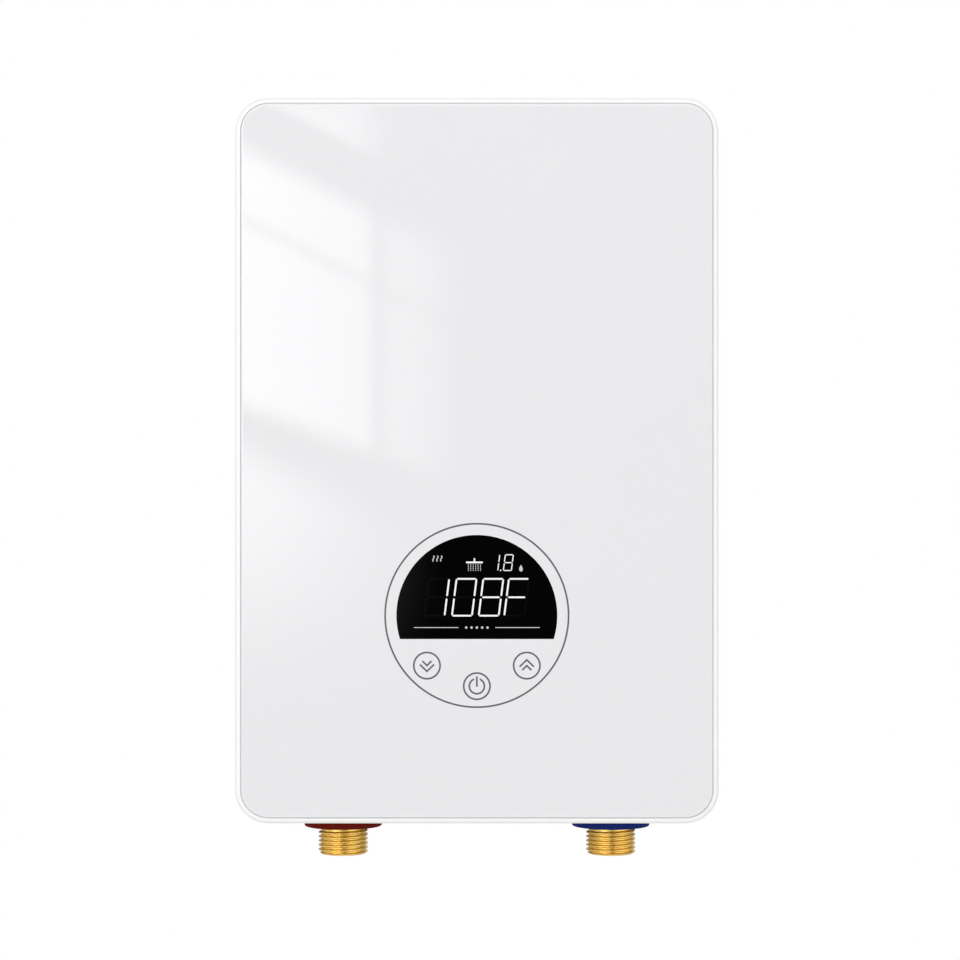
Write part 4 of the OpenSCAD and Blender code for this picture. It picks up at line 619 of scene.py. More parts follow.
# %% Display light
LIGHT_CLOUD, DIMMEST = 2, 0.92


def lit(name, colour, strength):
    """A light-emitting segment: a plastic bar that glows, a little unevenly along its length."""
    finish, tree, place = new_finish(name)
    spread = add(tree, "TexNoise", {"Vector": place, "Scale": per_metre(LIGHT_CLOUD), "Detail": 1})
    spread = spread.outputs["Fac"]
    levels = {0: spread, 1: NOISE_LOW, 2: NOISE_HIGH, 3: strength * DIMMEST, 4: strength}
    level = add(tree, "MapRange", levels)
    shader = add(tree, "BsdfPrincipled", {
        "Base Color": paint("202020"), "Roughness": 0.4, "Emission Color": paint(colour),
        "Emission Strength": level.outputs[0],
    })
    add(tree, "OutputMaterial", {"Surface": shader.outputs[0]})
    return finish


# Diffused LED light: a clean white for the numbers, and a softer one for the small signs
white_light = lit("white_display_light", "FFFFFF", 0.95)
dim_light = lit("soft_display_light", "E4E6EA", 0.75)
print("light:", white_light.name, dim_light.name)

# %% [markdown]
# ## Striped sleeves
# Two sleeves carry a code in colour. The earth lead is green with yellow stripes along it, and the ribbon is
# grey with one red edge that marks its first core. The stripes of a bent lead can't come from its place in
# space. They come from where a point sits round the lead: its sine and cosine there are kept on the mesh as
# an attribute, and their product changes sign four times a turn.

# %% Striped finishes
STRIPE_BLUR = 0.06
RED_EDGE_X = -5.7


def striped(finish, tree, pattern, ground, stripe):
    """Vinyl in two colours: the stripe shows where the pattern is above zero."""
    edge = add(tree, "MapRange", {0: pattern, 1: -STRIPE_BLUR, 2: STRIPE_BLUR})
    tone = add(tree, "Mix", {0: edge.outputs[0], 6: paint(ground), 7: paint(stripe)}, data_type="RGBA")
    shader = add(tree, "BsdfPrincipled", {"Base Color": tone.outputs[2], "Roughness": 0.38, "IOR": 1.53})
    add(tree, "OutputMaterial", {"Surface": shader.outputs[0]})
    return finish


# Extruded vinyl, green and yellow: satin, with stripes that follow the lead
sleeve, tree, _ = new_finish("striped_vinyl_sleeve")
lay = add(tree, "SeparateXYZ", {0: add(tree, "Attribute", attribute_name="lay").outputs["Vector"]})
twice = add(tree, "Math", {0: lay.outputs["X"], 1: lay.outputs["Y"]}, operation="MULTIPLY")
finishes["earth_lead"] = striped(sleeve, tree, twice.outputs[0], "1E7A34", "E2C222")

# Extruded vinyl, grey: satin, with the red edge of the first core
flat_sleeve, tree, place = new_finish("ribbon_vinyl")
across = add(tree, "SeparateXYZ", {0: place})
past = add(tree, "Math", {0: across.outputs["X"], 1: -1 / MM, 2: RED_EDGE_X}, operation="MULTIPLY_ADD")
finishes["ribbon"] = striped(flat_sleeve, tree, past.outputs[0], "A9ACB0", "B3382C")
print("striped:", finishes["earth_lead"].name, finishes["ribbon"].name)

# %% [markdown]
# ## Finishes on the solids
# Every solid already sits in its place, so it only needs its finish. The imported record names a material
# slot for each solid, and the finishes above are filed under the same names.

# %% Dress the solids
slot_of = {row["node"]: row["material_slot"] for row in frame["record"]["subparts"]}
for node, solid in frame["nodes"].items():
    for holder in solid.material_slots:
        holder.material = finishes[slot_of[node]]
print(len(slot_of), "solids dressed in", len(finishes), "finishes")

# %% [markdown]
# ## The glass front
# The real front is one sheet of glass with a window left clear in its paint. Cutting a hole with a Boolean
# leaves long thin faces. Here the sheet is a ring instead: rays from the middle of the display cross the
# window's edge and the sheet's edge, and the points in between make one clean band of quads. The same rays
# carry the pencil-ground edge round the back.

# %% Outlines
HALF = np.array([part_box("front_cover")[1].x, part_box("front_cover")[1].z]) / MM
CORNER = 14.0
GLASS_INSET = HALF[0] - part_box("front_glass")[1].x / MM
GLASS_FRONT, GLASS_BACK = -GLASS_Y, -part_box("graphic_film")[1].y / MM
DISPLAY = np.array([0.0, -63.9])
WINDOW_R, WINDOW_CUT = 33.2, 9.75


def rounded_box(half, radius, steps=16):
    """Four quarter circles about the corners of a rectangle with the given half sides, joined by straight
    lines."""
    angle = np.radians(np.arange(4)[:, None] * 90 + np.linspace(0, 90, steps))
    centre = np.array([[1, 1], [-1, 1], [-1, -1], [1, -1]]) * half
    arc = np.stack([np.cos(angle), np.sin(angle)], -1)
    return (centre[:, None] + radius * arc).reshape(-1, 2)


def case_outline(inset):
    """The case's rounded outline, drawn in by an inset."""
    return rounded_box(HALF - CORNER, CORNER - inset)


def window_outline(steps=120):
    """The window: an arc over the top, from one end of the straight lower edge to the other."""
    low = -np.arcsin(WINDOW_CUT / WINDOW_R)
    angle = np.linspace(low, np.pi - low, steps)
    return DISPLAY + WINDOW_R * np.stack([np.cos(angle), np.sin(angle)], -1)


print("case", 2 * HALF, "mm, glass from", GLASS_BACK, "to", GLASS_FRONT, "mm off the wall")

# %% Glass sheet
GROUND_EDGE, EDGE_STEPS, EVEN_RAYS = 0.4, 6, 240
corners = np.vstack([case_outline(GLASS_INSET), window_outline()]) - DISPLAY
angles = np.linspace(-np.pi, np.pi, EVEN_RAYS, endpoint=False)
angles = np.unique(np.append(angles, np.arctan2(corners[:, 1], corners[:, 0])).round(4))
rays = np.stack([np.cos(angles), np.sin(angles)], -1)


def crossed(loop, depth):
    """Where the rays cross a convex loop: along each ray, the nearest crossing ahead with the line through
    two neighbouring points of the loop, from the cross products of ray, edge and start."""
    start = loop - DISPLAY
    edge = np.roll(start, -1, 0) - start
    past = rays[:, None, 0] * edge[:, 1] - rays[:, None, 1] * edge[:, 0]
    ahead = (start[:, 0] * edge[:, 1] - start[:, 1] * edge[:, 0]) / np.where(past == 0, 1e-12, past)
    distance = np.where(ahead > 0, ahead, np.inf).min(1)
    return at_depth(DISPLAY + rays * distance[:, None], depth)


# The ground edge is a quarter circle, from the flat of the glass to its side
turn = np.linspace(0, np.pi / 2, EDGE_STEPS)
ground = [(GLASS_INSET + GROUND_EDGE * (1 - np.sin(t)), GROUND_EDGE * (1 - np.cos(t))) for t in turn]
flat_rim = crossed(case_outline(GLASS_INSET + 2 * GROUND_EDGE), GLASS_FRONT)
rows = [crossed(window_outline(), GLASS_FRONT), flat_rim]
rows += [crossed(case_outline(inset), GLASS_FRONT - drop) for inset, drop in ground]
rows += [crossed(case_outline(inset), GLASS_BACK + drop) for inset, drop in ground[::-1]]
rows += [crossed(window_outline(), GLASS_BACK)]
glass = surface("glass_front", [(np.stack(rows), True, True)])
dress(glass, "front_cover", "front_glass", finishes["front_glass"], "front_glass", "graphic_film")

# %% Display window
# A fan from the middle out to the window's edge, through the glass, and back to the middle
middle = DISPLAY[None].repeat(len(rays), 0)
pane = np.stack([at_depth(middle, GLASS_FRONT), rows[0], rows[-1], at_depth(middle, GLASS_BACK)])
window = surface("display_window", [(pane, False, True)])
dress(window, "front_cover", "display_black", finishes["display_black"])

# %% [markdown]
# ## The bead round the glass
# The glass lies in a recess of the cover with half a millimetre of play. A bead of pale silicone fills that
# gap to just below the surface, and it shows as a fine grey line round the front. It is a ring too: a small
# closed section carried round the outline.

# %% Glass bead
GLASS_PLAY, BEAD_DEPTH = 0.5, 0.75
RECESS_INSET = GLASS_INSET - GLASS_PLAY
BEAD_LOW, BEAD_TOP = GLASS_BACK + GROUND_EDGE, GLASS_FRONT - BEAD_DEPTH
BEAD_LAP, BEAD_SAG = 0.04, 0.12


def round_the_case(name, section, crease=35):
    """A closed section of insets and depths, carried round the case's outline."""
    rows = [at_depth(case_outline(inset), depth) for inset, depth in section]
    return surface(name, [(np.stack(rows), True, True)], crease)


def bead_section():
    """Insets and depths of the bead: flat below, and hollow on top by the sag, along a parabola. It laps a
    little over both walls."""
    across = np.linspace(0, 1, 7)
    inset = RECESS_INSET - BEAD_LAP + (GLASS_INSET - RECESS_INSET + 2 * BEAD_LAP) * across
    top = BEAD_TOP - BEAD_SAG * (1 - (2 * across - 1) ** 2)
    return [*zip(inset, top), (inset[-1], BEAD_LOW), (inset[0], BEAD_LOW)]


# Pale silicone, run in wet: a soft grey line, dull and waxy
pale_silicone = moulded("pale_silicone_bead", "DCDDDE", "D2D3D5", 0.45, 0.6, 0.01, ior=1.41)
dress(round_the_case("glass_bead", bead_section()), "front_cover", "grey_silicone", pale_silicone)

# %% [markdown]
# ## Printed ring and keys
# The control panel is drawn on the glass: one large ring round the display, and three touch keys, each a
# small ring with a sign. The keys don't move. A curve with a bevel would give round wires. Ink is flat, so
# each line is a thin strip carried along its path, mitred where the path bends.

# %% Ink strips
INK_SINK, INK_RISE = 0.02, 0.03
INK_LOW, INK_TOP = GLASS_FRONT - INK_SINK, GLASS_FRONT + INK_RISE


def capped(rows):
    """A patch of closed rows, shut at both ends by a row that has shrunk to the middle of its neighbour."""
    rows = np.asarray(rows, float)
    ends = rows[[0, -1]].mean(1, keepdims=True).repeat(rows.shape[1], 1)
    return np.concatenate([ends[:1], rows, ends[1:]]), False, True


def stroke(path, width, closed=False):
    """A strip along a path: both edges lie half a width away on the mean of the neighbouring normals,
    lengthened so that the strip keeps its width at a bend."""
    path = np.asarray(path, float)
    step = np.diff(path, axis=0, append=path[:1]) if closed else np.diff(path, axis=0)
    normal = np.stack([-step[:, 1], step[:, 0]], -1) / np.linalg.norm(step, axis=1)[:, None]
    before = np.roll(normal, 1, 0) if closed else np.vstack([normal[:1], normal])
    after = normal if closed else np.vstack([normal, normal[-1:]])
    mitre = (before + after) / (1 + (before * after).sum(1))[:, None] * width / 2
    left, right = path + mitre, path - mitre
    edges = [(left, INK_LOW), (left, INK_TOP), (right, INK_TOP), (right, INK_LOW)]
    grid = np.stack([at_depth(flat, depth) for flat, depth in edges], 1)
    return (grid, True, True) if closed else capped(grid)


def ring_path(centre, radius, start=0.0, end=360.0, steps=96):
    """Points of an arc about a centre, from one angle to another in degrees."""
    angle = np.radians(np.linspace(start, end, steps, endpoint=end - start < 360))
    return np.asarray(centre) + radius * np.stack([np.cos(angle), np.sin(angle)], -1)


print("ink lies", INK_LOW, "to", INK_TOP, "mm off the wall")

# %% Ring and keys
INK_LINE = 0.7
RING_R, KEY_R = 37.85, 5.43
SIDE_KEY, POWER_KEY = np.array([20.6, -20.7]), np.array([0.0, -29.2])
CHEVRON_SHIFT = np.array([0.0, 0.95])
POWER_R, POWER_FROM, POWER_TO = 3.12, 112, 428
POWER_BAR = np.array([[0, 4.05], [0, -0.2]])


def chevron(reach, dip):
    """Two lines that come down from a reach on either side and a dip above, to a dip below the middle."""
    return np.array([[-reach, dip], [0, -dip], [reach, dip]])


ring = surface("control_ring", [stroke(ring_path(DISPLAY, RING_R, steps=192), INK_LINE, closed=True)])
dress(ring, "front_cover", "white_print", grey_ink)
down_signs = [chevron(2.95, 1.42) - CHEVRON_SHIFT, chevron(1.9, 0.95) + CHEVRON_SHIFT]
keys = {
    "down_key": (SIDE_KEY * [-1, 1], down_signs),
    "up_key": (SIDE_KEY, [sign * [1, -1] for sign in down_signs]),
    "power_key": (POWER_KEY, [ring_path([0, 0], POWER_R, POWER_FROM, POWER_TO, 48), POWER_BAR]),
}
for name, (place, signs) in keys.items():
    centre = DISPLAY + place
    lines = [stroke(ring_path(centre, KEY_R), INK_LINE, closed=True)]
    lines += [stroke(centre + sign, INK_LINE) for sign in signs]
    dress(surface(name, lines), "front_cover", "white_print", grey_ink)

# %% [markdown]
# ## The display
# Behind the smoked window, light bars form the numbers: seven to a digit, leaning to the right. A font would
# give solid letters. Here each bar is a six-cornered plate, and a digit is the set of bars that is lit. The
# bars that stay dark are there too, just visible, as on a real display.

# %% Light bars
LEAN = 0.125
CORNER_GAP, MIDDLE_GAP = 0.012, 0.055
BARS = {
    "a": [(-1, 1), (1, 1)], "b": [(1, 1), (1, 0)], "c": [(1, 0), (1, -1)], "d": [(-1, -1), (1, -1)],
    "e": [(-1, 0), (-1, -1)], "f": [(-1, 1), (-1, 0)], "g": [(-1, 0), (1, 0)],
}
LIT = {"0": "abcdef", "1": "bc", "8": "abcdefg", "F": "aefg"}


def plate(loop):
    """A thin plate with a given outline, closed below and above by a fan round its middle."""
    return capped([at_depth(loop, depth) for depth in (INK_LOW, INK_TOP)])


def light_bar(start, end, width):
    """Six corners: both ends, and four shoulders half a width in from them and to the side."""
    ahead = (end - start) / np.linalg.norm(end - start) * width / 2
    side = np.array([-ahead[1], ahead[0]])
    shoulders = [start + ahead + side, end - ahead + side, end, end - ahead - side, start + ahead - side]
    return plate(np.array([start, *shoulders]))


def digit(sign, centre, size, width, dark=False):
    """The lit or the dark bars of a sign in a cell of a given width and height, leaning to the right. Bars
    all but meet in the cell's corners, and leave a wider gap at half its height."""
    chosen = [bar for bar in BARS if (bar in LIT[sign]) != dark]
    ends = np.array([BARS[bar] for bar in chosen], float).reshape(-1, 2, 2)
    gap = np.where(ends[..., 1:] == 0, MIDDLE_GAP, CORNER_GAP)
    ends = (ends + (ends[:, ::-1] - ends) * gap) * np.asarray(size) / 2
    ends[..., 0] += LEAN * ends[..., 1]
    return [light_bar(start + centre, end + centre, width) for start, end in ends]


def number(cells, z, size, width, dark=False):
    """The bars of a row of cells at one height. A cell is given by its sign and the X of its middle."""
    return [bar for sign, x in cells.items() for bar in digit(sign, (x, z), size, width, dark)]


def show(name, patches, light):
    """A sign of the display, on the front cover."""
    return dress(surface(name, patches), "front_cover", "display_black", light)


# %% Digits
MAIN_CELLS = {"1": -16.5, "0": -5.2, "8": 5.85, "F": 16.4}
MAIN = dict(z=-56.4, size=(8.25, 15.2), width=0.7)
FLOW_CELLS = {"1": 7.4, "8": 13.0}
FLOW = dict(z=-42.1, size=(3.3, 6.5), width=0.4)
POINT, POINT_R = (9.8, -45.3), 0.3
show("lit_digits", number(MAIN_CELLS, **MAIN), white_light)
# Bars that are off: moulded a shade paler than the black round them
dark_bars = under_glass("unlit_display_bars", "0B0B0C", "0D0D0E")
show("unlit_bars", number(MAIN_CELLS, **MAIN, dark=True), dark_bars)
point = plate(ring_path(POINT, POINT_R, steps=12))
show("flow_number", [*number(FLOW_CELLS, **FLOW), point], white_light)

# %% [markdown]
# ## Small signs
# Round the numbers stand small signs: a shower rose, rising heat, a drop, and a thin rule with a row of
# level dots. An image could hold them, but it would blur close by. They are plain pictures, drawn with the
# same strips and plates.

# %% Shower sign
ROSE, ROSE_HALF, ROSE_LINE = np.array([-1.0, -42.0]), 3.45, 0.7
STEM, STEM_LINE = [[0, 1.7], [0, 0.3]], 0.6
JETS_X, JETS_Z = np.linspace(-2.5, 2.5, 6), np.linspace(-1.0, -3.25, 4)
JET_HALF, JET_LINE = 0.24, 0.32
rose = [stroke(ROSE + [[-ROSE_HALF, 0], [ROSE_HALF, 0]], ROSE_LINE), stroke(ROSE + STEM, STEM_LINE)]
show("shower_sign", rose, white_light)
jets = ROSE + np.stack(np.meshgrid(JETS_X, JETS_Z), -1).reshape(-1, 2)
show("shower_jets", [stroke(jet + [[0, JET_HALF], [0, -JET_HALF]], JET_LINE) for jet in jets], dim_light)

# %% Heat, drop and level signs
HEAT_X, HEAT_Z = (-17.9, -16.3, -14.7), -40.4
HEAT_HALF, HEAT_SWAY, HEAT_LINE = 1.2, 0.3, 0.4
# Each line sways to both sides as one sine over its height
rise = np.linspace(-HEAT_HALF, HEAT_HALF, 17)
wave = np.stack([HEAT_SWAY * np.sin(np.pi * rise / HEAT_HALF), rise], -1)
show("heat_sign", [stroke(wave + [x, HEAT_Z], HEAT_LINE) for x in HEAT_X], dim_light)

DROP, DROP_HALF = (18.2, -44.4), (0.95, 1.35)
# Height is a cosine and width the product of two sines, so the drop is pointed at the top and round below
swing = np.linspace(0, 2 * np.pi, 28, endpoint=False)
drop = np.stack([np.sin(swing) * np.sin(swing / 2), np.cos(swing)], -1)
show("drop_sign", [plate(drop * DROP_HALF + DROP)], dim_light)

RULES_X, RULE_Z, RULE_LINE = ((-26.0, -7.6), (7.6, 26.0)), -68.9, 0.3
DOTS_X, DOT_R = np.linspace(-4.4, 4.4, 5), 0.5
rules = [stroke([[start, RULE_Z], [end, RULE_Z]], RULE_LINE) for start, end in RULES_X]
rules += [plate(ring_path((x, RULE_Z), DOT_R, steps=16)) for x in DOTS_X]
show("level_rule", rules, dim_light)

# %% [markdown]
# ## Pipe fittings
# Each fitting is turned from brass: a threaded nipple, a shank through the case, a flange inside it and a
# spigot for the next piece. The solid's thread is a stack of rings. A real one is a helix, and that is easy
# here: the radius depends on height and angle through one phase, height over pitch less the turn. The
# tooth's round flanks come from easing that phase, and a cone trims the first turn.

# %% Turned shapes
SIDES = 112


def axis_of(node):
    """X and Y of the upright axis through the middle of a solid's box, in mm."""
    low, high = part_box(node)
    return np.array([low.x + high.x, low.y + high.y]) / 2 / MM


def turned(profile, axis):
    """A profile of radius and height carried round an upright axis. A radius may change with angle too."""
    profile = np.asarray(profile, float)
    if profile.ndim == 2:
        profile = profile[:, None].repeat(SIDES, 1)
    radius, height = profile[..., 0], profile[..., 1]
    turn = np.linspace(0, 2 * np.pi, SIDES, endpoint=False)
    return np.stack([axis[0] + radius * np.cos(turn), axis[1] + radius * np.sin(turn), height], -1)


def eased(corners, size, steps=5):
    """A polyline whose corners are quadratic curves that start and end a size away from each corner, or
    under half of the shorter side next to it."""
    corners = np.asarray(corners, float)
    inner = corners[1:-1]
    back, ahead = corners[:-2] - inner, corners[2:] - inner
    lengths = np.linalg.norm([back, ahead], axis=-1)
    cut = np.minimum(size, 0.45 * lengths.min(0))
    start = inner + back * (cut / lengths[0])[:, None]
    end = inner + ahead * (cut / lengths[1])[:, None]
    t = np.linspace(0, 1, steps)[:, None]
    bends = (1 - t) ** 2 * start[:, None] + 2 * t * (1 - t) * inner[:, None] + t ** 2 * end[:, None]
    return np.vstack([corners[:1], bends.reshape(-1, 2), corners[-1:]])


print("hot fitting's axis:", axis_of("hot_outlet_fitting"), "mm")

# %% Thread
THREAD_R, THREAD_DEPTH, PITCH, ROWS_A_TURN = 10.4775, 1.162, 1.814, 14
ROOT, FLANK = 0.2, 0.3
ROOT_R = THREAD_R - THREAD_DEPTH
# The cone that trims the start begins a little under the root
TRIM_UNDER, TRIM_SLOPE = 0.1, 1.6
RUN_OUT, RUN_OUT_BLUR = 0.5 * PITCH, 0.3 * PITCH


def threaded(low, high):
    """Radius and height of a thread: over a pitch, a fifth is crest, a fifth is root, and the flanks between
    them are eased at both ends. A cone trims the start, and the last turn runs out."""
    height = np.arange(low, high, PITCH / ROWS_A_TURN)[:, None] + np.zeros(SIDES)
    turns = (height - low) / PITCH - np.arange(SIDES) / SIDES
    off_crest = np.abs(turns - np.floor(turns) - 0.5)
    tooth = 1 - soft_step(off_crest, (1 - ROOT - FLANK) / 2, FLANK / 2)
    tooth *= soft_step(high - height, RUN_OUT, RUN_OUT_BLUR)
    cone = ROOT_R - TRIM_UNDER + TRIM_SLOPE * (height - low)
    return np.stack([np.minimum(THREAD_R - THREAD_DEPTH * (1 - tooth), cone), height], -1)


print("thread", 2 * THREAD_R, "mm across, a turn every", PITCH, "mm")

# %% Fittings
BORE_R, SHANK_R, FLANGE_R, SPIGOT_R = 7.0, 10.2, 15.0, 9.0
GROOVE_R, GROOVE_HALF = 7.3, 1.15
RELIEF_GAP, RELIEF_RISE = 0.6, 0.1
RELIEF_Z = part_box("hot_collar")[0].z / MM - RELIEF_GAP
FLANGE_Z, SEAT_Z = -145.9, -142.9
STRAINER_R, STRAINER_SEAT = 8.1, 2.5
EDGE, MOUTH_EDGE, STRAINER_EDGE, RIM_UNDER = 0.4, 0.6, 0.2, 0.15


def pipe_fitting(name, mouth):
    """One closed surface: from the bore's mouth out over the thread, up the shank, the flange and the spigot
    with its ring groove, and back down the bore."""
    axis = axis_of(name)
    low, top = (corner.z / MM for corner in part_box(name))
    groove = (SEAT_Z + top) / 2 + np.array([-GROOVE_HALF, GROOVE_HALF])
    upper = [
        (ROOT_R, RELIEF_Z), (SHANK_R, RELIEF_Z + RELIEF_RISE), (SHANK_R, FLANGE_Z),
        (FLANGE_R, FLANGE_Z), (FLANGE_R, SEAT_Z), (SPIGOT_R, SEAT_Z), (SPIGOT_R, groove[0]),
        (GROOVE_R, groove[0]), (GROOVE_R, groove[1]), (SPIGOT_R, groove[1]), (SPIGOT_R, top), (BORE_R, top),
    ]
    start = np.array([(radius, low + rise) for radius, rise in mouth])
    rows = [turned(start, axis), turned(threaded(low, RELIEF_Z), axis), turned(eased(upper, EDGE), axis)]
    return surface(name.replace("fitting", "nipple"), [(np.concatenate(rows), True, True)], crease=50)


rim = (ROOT_R - RIM_UNDER, 0)
hot_mouth = [(BORE_R, MOUTH_EDGE), (BORE_R + MOUTH_EDGE, 0), rim]
cold_mouth = [
    (BORE_R, STRAINER_SEAT), (STRAINER_R, STRAINER_SEAT), (STRAINER_R, STRAINER_EDGE),
    (STRAINER_R + STRAINER_EDGE, 0), rim,
]
for name, mouth in (("hot_outlet_fitting", hot_mouth), ("cold_inlet_fitting", cold_mouth)):
    dress(pipe_fitting(name, mouth), "chassis", "brass", finishes["brass"], name)

# %% [markdown]
# ## Collars
# Where a nipple leaves the case, a silicone ring closes the hole, red on the hot side and blue on the cold
# one. A bevel modifier could soften its edges. Here the corners of its section are eased first, with the
# helper that the fittings use, and the section is then carried round the nipple.

# %% Collars
COLLAR_PLAY, COLLAR_EDGE = 0.15, 0.6
for name, slot in (("hot_collar", "red_collar"), ("cold_collar", "blue_collar")):
    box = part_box(name)
    low, high = (corner.z / MM for corner in box)
    inner, outer = SHANK_R + COLLAR_PLAY, (box[1].x - box[0].x) / 2 / MM
    start = (inner, (low + high) / 2)
    loop = [start, (inner, low), (outer, low), (outer, high), (inner, high), start]
    rows = turned(eased(loop, COLLAR_EDGE)[:-1], axis_of(name))
    dress(surface(name + "_ring", [(rows, True, True)]), "chassis", slot, finishes[slot], name)

# %% [markdown]
# ## Leads
# Inside, silicone leads carry power from the terminals to the board and on to the elements, and thin ones
# come from the sensors. Each is held at both ends, so it hangs in a set curve: a smooth curve through a few
# points, with a ring carried along it. The rings need one steady direction, or the tube would twist. The
# normal of the plane that fits the route best is never along the route, so that direction serves.

# %% Lead helpers
def smooth_route(points, steps=8):
    """Catmull-Rom curve through points given as X, depth and Z: between two points it is a cubic whose slope
    at each is half the step between that point's neighbours."""
    points = np.asarray(points, float) * [1, -1, 1]
    padded = np.vstack([points[:1], points, points[-1:]])
    a, b, c, d = (padded[first:len(points) - 1 + first, None] for first in range(4))
    t = np.linspace(0, 1, steps, endpoint=False)[:, None]
    curve = 2 * b + (c - a) * t + (2 * a - 5 * b + 4 * c - d) * t ** 2 + (3 * b - a - 3 * c + d) * t ** 3
    return np.vstack([curve.reshape(-1, 3) / 2, points[-1:]])


def tube(route, radius, sides=16):
    """Rings square to a route, closed at both ends by a ring of no size."""
    ahead = np.gradient(route, axis=0)
    ahead /= np.linalg.norm(ahead, axis=1)[:, None]
    flat = np.linalg.svd(route - route.mean(0))[2][2]
    side = flat - (ahead @ flat)[:, None] * ahead
    side /= np.linalg.norm(side, axis=1)[:, None]
    turn = np.linspace(0, 2 * np.pi, sides, endpoint=False)[:, None]
    across = np.cos(turn) * side[:, None] + np.sin(turn) * np.cross(ahead, side)[:, None]
    return capped(route[:, None] + radius * across)


def round_the_lead(patch):
    """For each point of a tube, the cosine and sine of its place round the tube, and nought."""
    rows, sides = patch[0].shape[:2]
    turn = np.linspace(0, 2 * np.pi, sides, endpoint=False)
    ring = np.stack([np.cos(turn), np.sin(turn), 0 * turn], -1)
    return np.broadcast_to(ring, (rows, sides, 3))


print("a route of 3 points has", len(smooth_route([(0, 0, 0), (1, 0, 0), (2, 1, 0)])), "rings")

# %% Power and earth leads
LEAD_R = 1.7
LEFT, RIGHT = np.array([-1, 1, 1]), np.array([1, 1, 1])
# Routes of the right half, as X, depth and Z. The left half mirrors them
half_routes = [
    [(14, 18, -113.4), (14, 18, -108.4), (14, 25.6, -101.4), (14, 26.6, -96.4), (14, 23.1, -95.4),
     (14, 19.6, -95.4)],
    [(43, 40.5, 98.1), (37, 40.5, 98.1), (24.8, 45, 89.1), (19.8, 47, 77.1), (19.8, 47, 59.1),
     (19.8, 37, 40.6), (19.8, 30.6, 24.6), (19.8, 25.6, 18.6), (19.8, 19.6, 18.6)],
    [(43, 25.5, 98.1), (37, 25.5, 98.1), (16.8, 19, 88.1), (7.8, 16, 77.1), (7.8, 16, 59.1),
     (7.8, 22, 40.6), (7.8, 27.6, 25.6), (7.8, 25.6, 18.6), (7.8, 19.6, 18.6)],
]
power_routes = [np.array(route) * half for half in (LEFT, RIGHT) for route in half_routes]
power = surface("silicone_power_leads", [tube(smooth_route(route), LEAD_R) for route in power_routes])
dress(power, "chassis", "red_silicone_lead", finishes["red_silicone_lead"], "power_leads")

earth_route = [
    (0, 18, -113.4), (0, 18, -108.4), (6, 32, -100.4), (15, 33, -92.9), (24, 33, -85.75), (31, 33, -85.75),
]
earth_tube = tube(smooth_route(earth_route), LEAD_R)
earth = surface("striped_earth_lead", [earth_tube], lay=round_the_lead(earth_tube))
dress(earth, "chassis", "earth_lead", finishes["earth_lead"], "earth_lead")

# %% Sensor leads
THIN_R = 1.1
thin_routes = [
    half * [(end, 33, -119.9), (end - 3, 33, -119.9), (28, 33, -107.9), (23.8, 28.6, -88.4),
            (23.8, 23.6, -79.4), (23.8, 18.6, -79.4)]
    for half, end in ((RIGHT, 38.0), (LEFT, 34.5))
]
thin_routes += [
    [(-40.3, 52.2, -119.9 + 4 * way), (-36.3, 52.2, -119.9 + 4 * way), (-29.8 - way, 41, -105.9 + 2 * way),
     (-23.8 - 2 * way, 30.6, -77.4), (-23.8 - 1.6 * way, 23.6, -65.4), (-23.8 - 1.6 * way, 18.6, -65.4)]
    for way in (-1, 1)
]
thin = surface("thin_sensor_leads", [tube(smooth_route(route), THIN_R) for route in thin_routes])
dress(thin, "chassis", "grey_lead", finishes["grey_lead"], "sensor_leads")

# %% [markdown]
# ## Ribbon
# The display is joined to the main board by a flat ribbon of eleven cores, bent in a loose wave so that the
# cover can be lifted a little. Its section is a row of round ridges on both faces, carried along the wave.
# An array of thin cylinders would look alike, but a real ribbon is one strip. Each end is pressed into a
# plug, a small block with blunt edges.

# %% Ribbon
CORES, CORE_PITCH, CORE_STEPS = 11, 1.27, 8
WEB_HALF, CORE_RISE = 0.25, 0.25
RIBBON_SPAN = np.array([23.6, 51.3])
RIBBON_Z, RIBBON_SWING = -63.8, 4.0


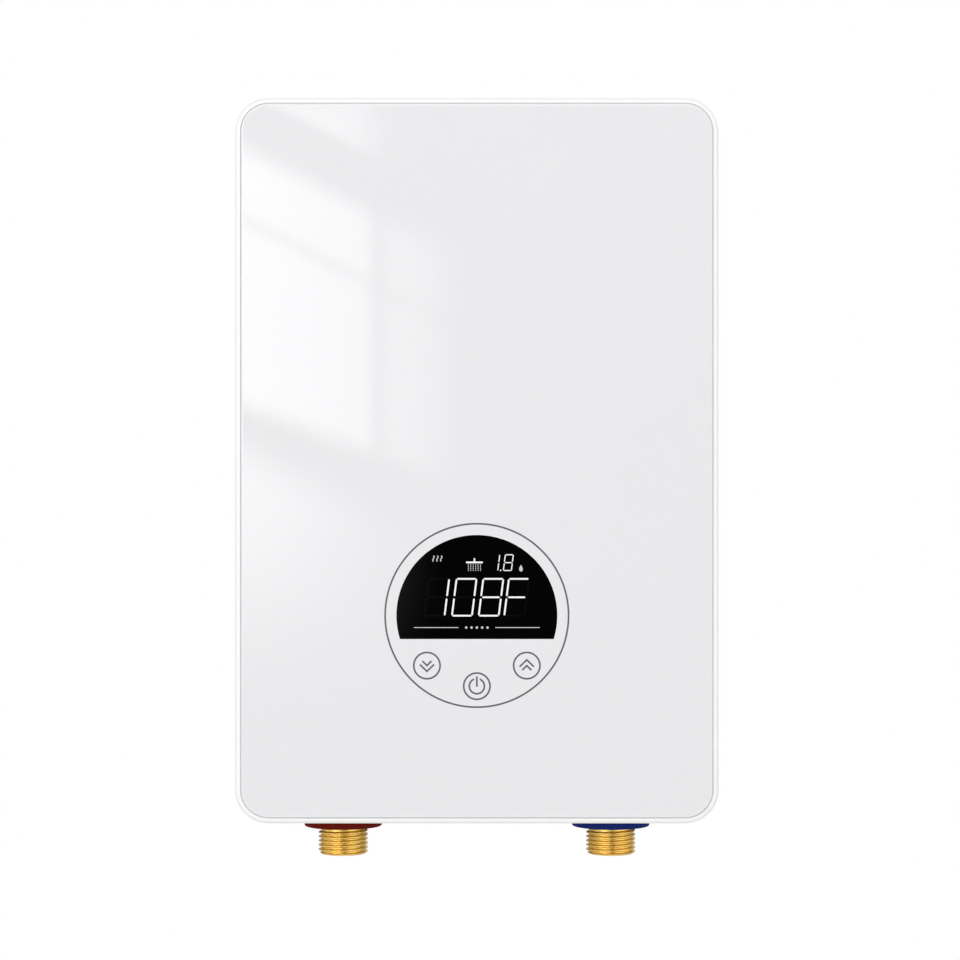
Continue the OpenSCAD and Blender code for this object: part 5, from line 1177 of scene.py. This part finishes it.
def ribbon():
    """Along the wave, depth grows evenly and height swings once as a sine. Across it, half the thickness is
    the web's in the grooves and rises on each core, as the root of a cosine."""
    t = np.linspace(0, 1, 49)
    depth = RIBBON_SPAN[0] + (RIBBON_SPAN[1] - RIBBON_SPAN[0]) * t
    height = RIBBON_Z + RIBBON_SWING * np.sin(2 * np.pi * t)
    slope = np.stack([np.gradient(depth), np.gradient(height)])
    normal = np.stack([-slope[1], slope[0]]) / np.linalg.norm(slope, axis=0)
    x = np.linspace(-0.5, 0.5, CORES * CORE_STEPS + 1) * CORES * CORE_PITCH
    half = WEB_HALF + CORE_RISE * np.sqrt(np.abs(np.cos(np.pi * x / CORE_PITCH)))
    x, half = np.append(x, x[::-1]), np.append(half, -half[::-1])
    y = depth[:, None] + normal[0][:, None] * half
    z = height[:, None] + normal[1][:, None] * half
    return capped(np.stack([np.broadcast_to(x, y.shape), -y, z], -1))


flat_cable = surface("ribbon_cable", [ribbon()], crease=70)
dress(flat_cable, "front_cover", "ribbon", finishes["ribbon"], "display_ribbon")

# %% Ribbon plugs
PLUG_HALF, PLUG_EDGE, PLUG_CORNER = np.array([9.0, 2.1]), 0.5, 1.0
PLUG_SPANS = ((13.3, RIBBON_SPAN[0]), (RIBBON_SPAN[1], 56.3))


def plug(start, end):
    """A block with rounded corners carried from one depth to another. Near both ends its corners' radius
    shrinks, which draws the outline in: to 0.7 at the end, and to 0.4 on the flat of it."""
    shrunk = [(0.4, 0), (0.7, 0), (1, PLUG_EDGE)]
    levels = [(share, start + rise) for share, rise in shrunk]
    levels += [(share, end - rise) for share, rise in shrunk[::-1]]
    outlines = [rounded_box(PLUG_HALF - PLUG_CORNER, PLUG_CORNER * share, 6) for share, _ in levels]
    return capped([at_depth(loop + [0, RIBBON_Z], depth) for loop, (_, depth) in zip(outlines, levels)])


plugs = surface("ribbon_plugs", [plug(*span) for span in PLUG_SPANS])
dress(plugs, "front_cover", "ribbon", finishes["dark_nylon"])

# %% [markdown]
# ## The seal
# Between the two halves of the case lies a soft bead that keeps splashes out. Its solid is a plain strip. A
# moulded one has a round back, so a section with such a back is carried round the case's outline, like the
# bead round the glass.

# %% Seal
SEAL_INSET, SEAL_W = 1.4, 1.2
seal_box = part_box("cover_seal")
seal_low, seal_high = -seal_box[1].y / MM, -seal_box[0].y / MM
# From one edge of the strip to the other, the back rises and falls as the root of a sine
swell = np.linspace(0, np.pi, 9)
seal_in = SEAL_INSET + SEAL_W / 2 * (1 - np.cos(swell))
seal_out = seal_low + (seal_high - seal_low) * np.sin(swell) ** 0.5
seal = round_the_case("cover_seal_bead", zip(seal_in, seal_out), crease=60)
dress(seal, "chassis", slot_of["cover_seal"], finishes[slot_of["cover_seal"]], "cover_seal")
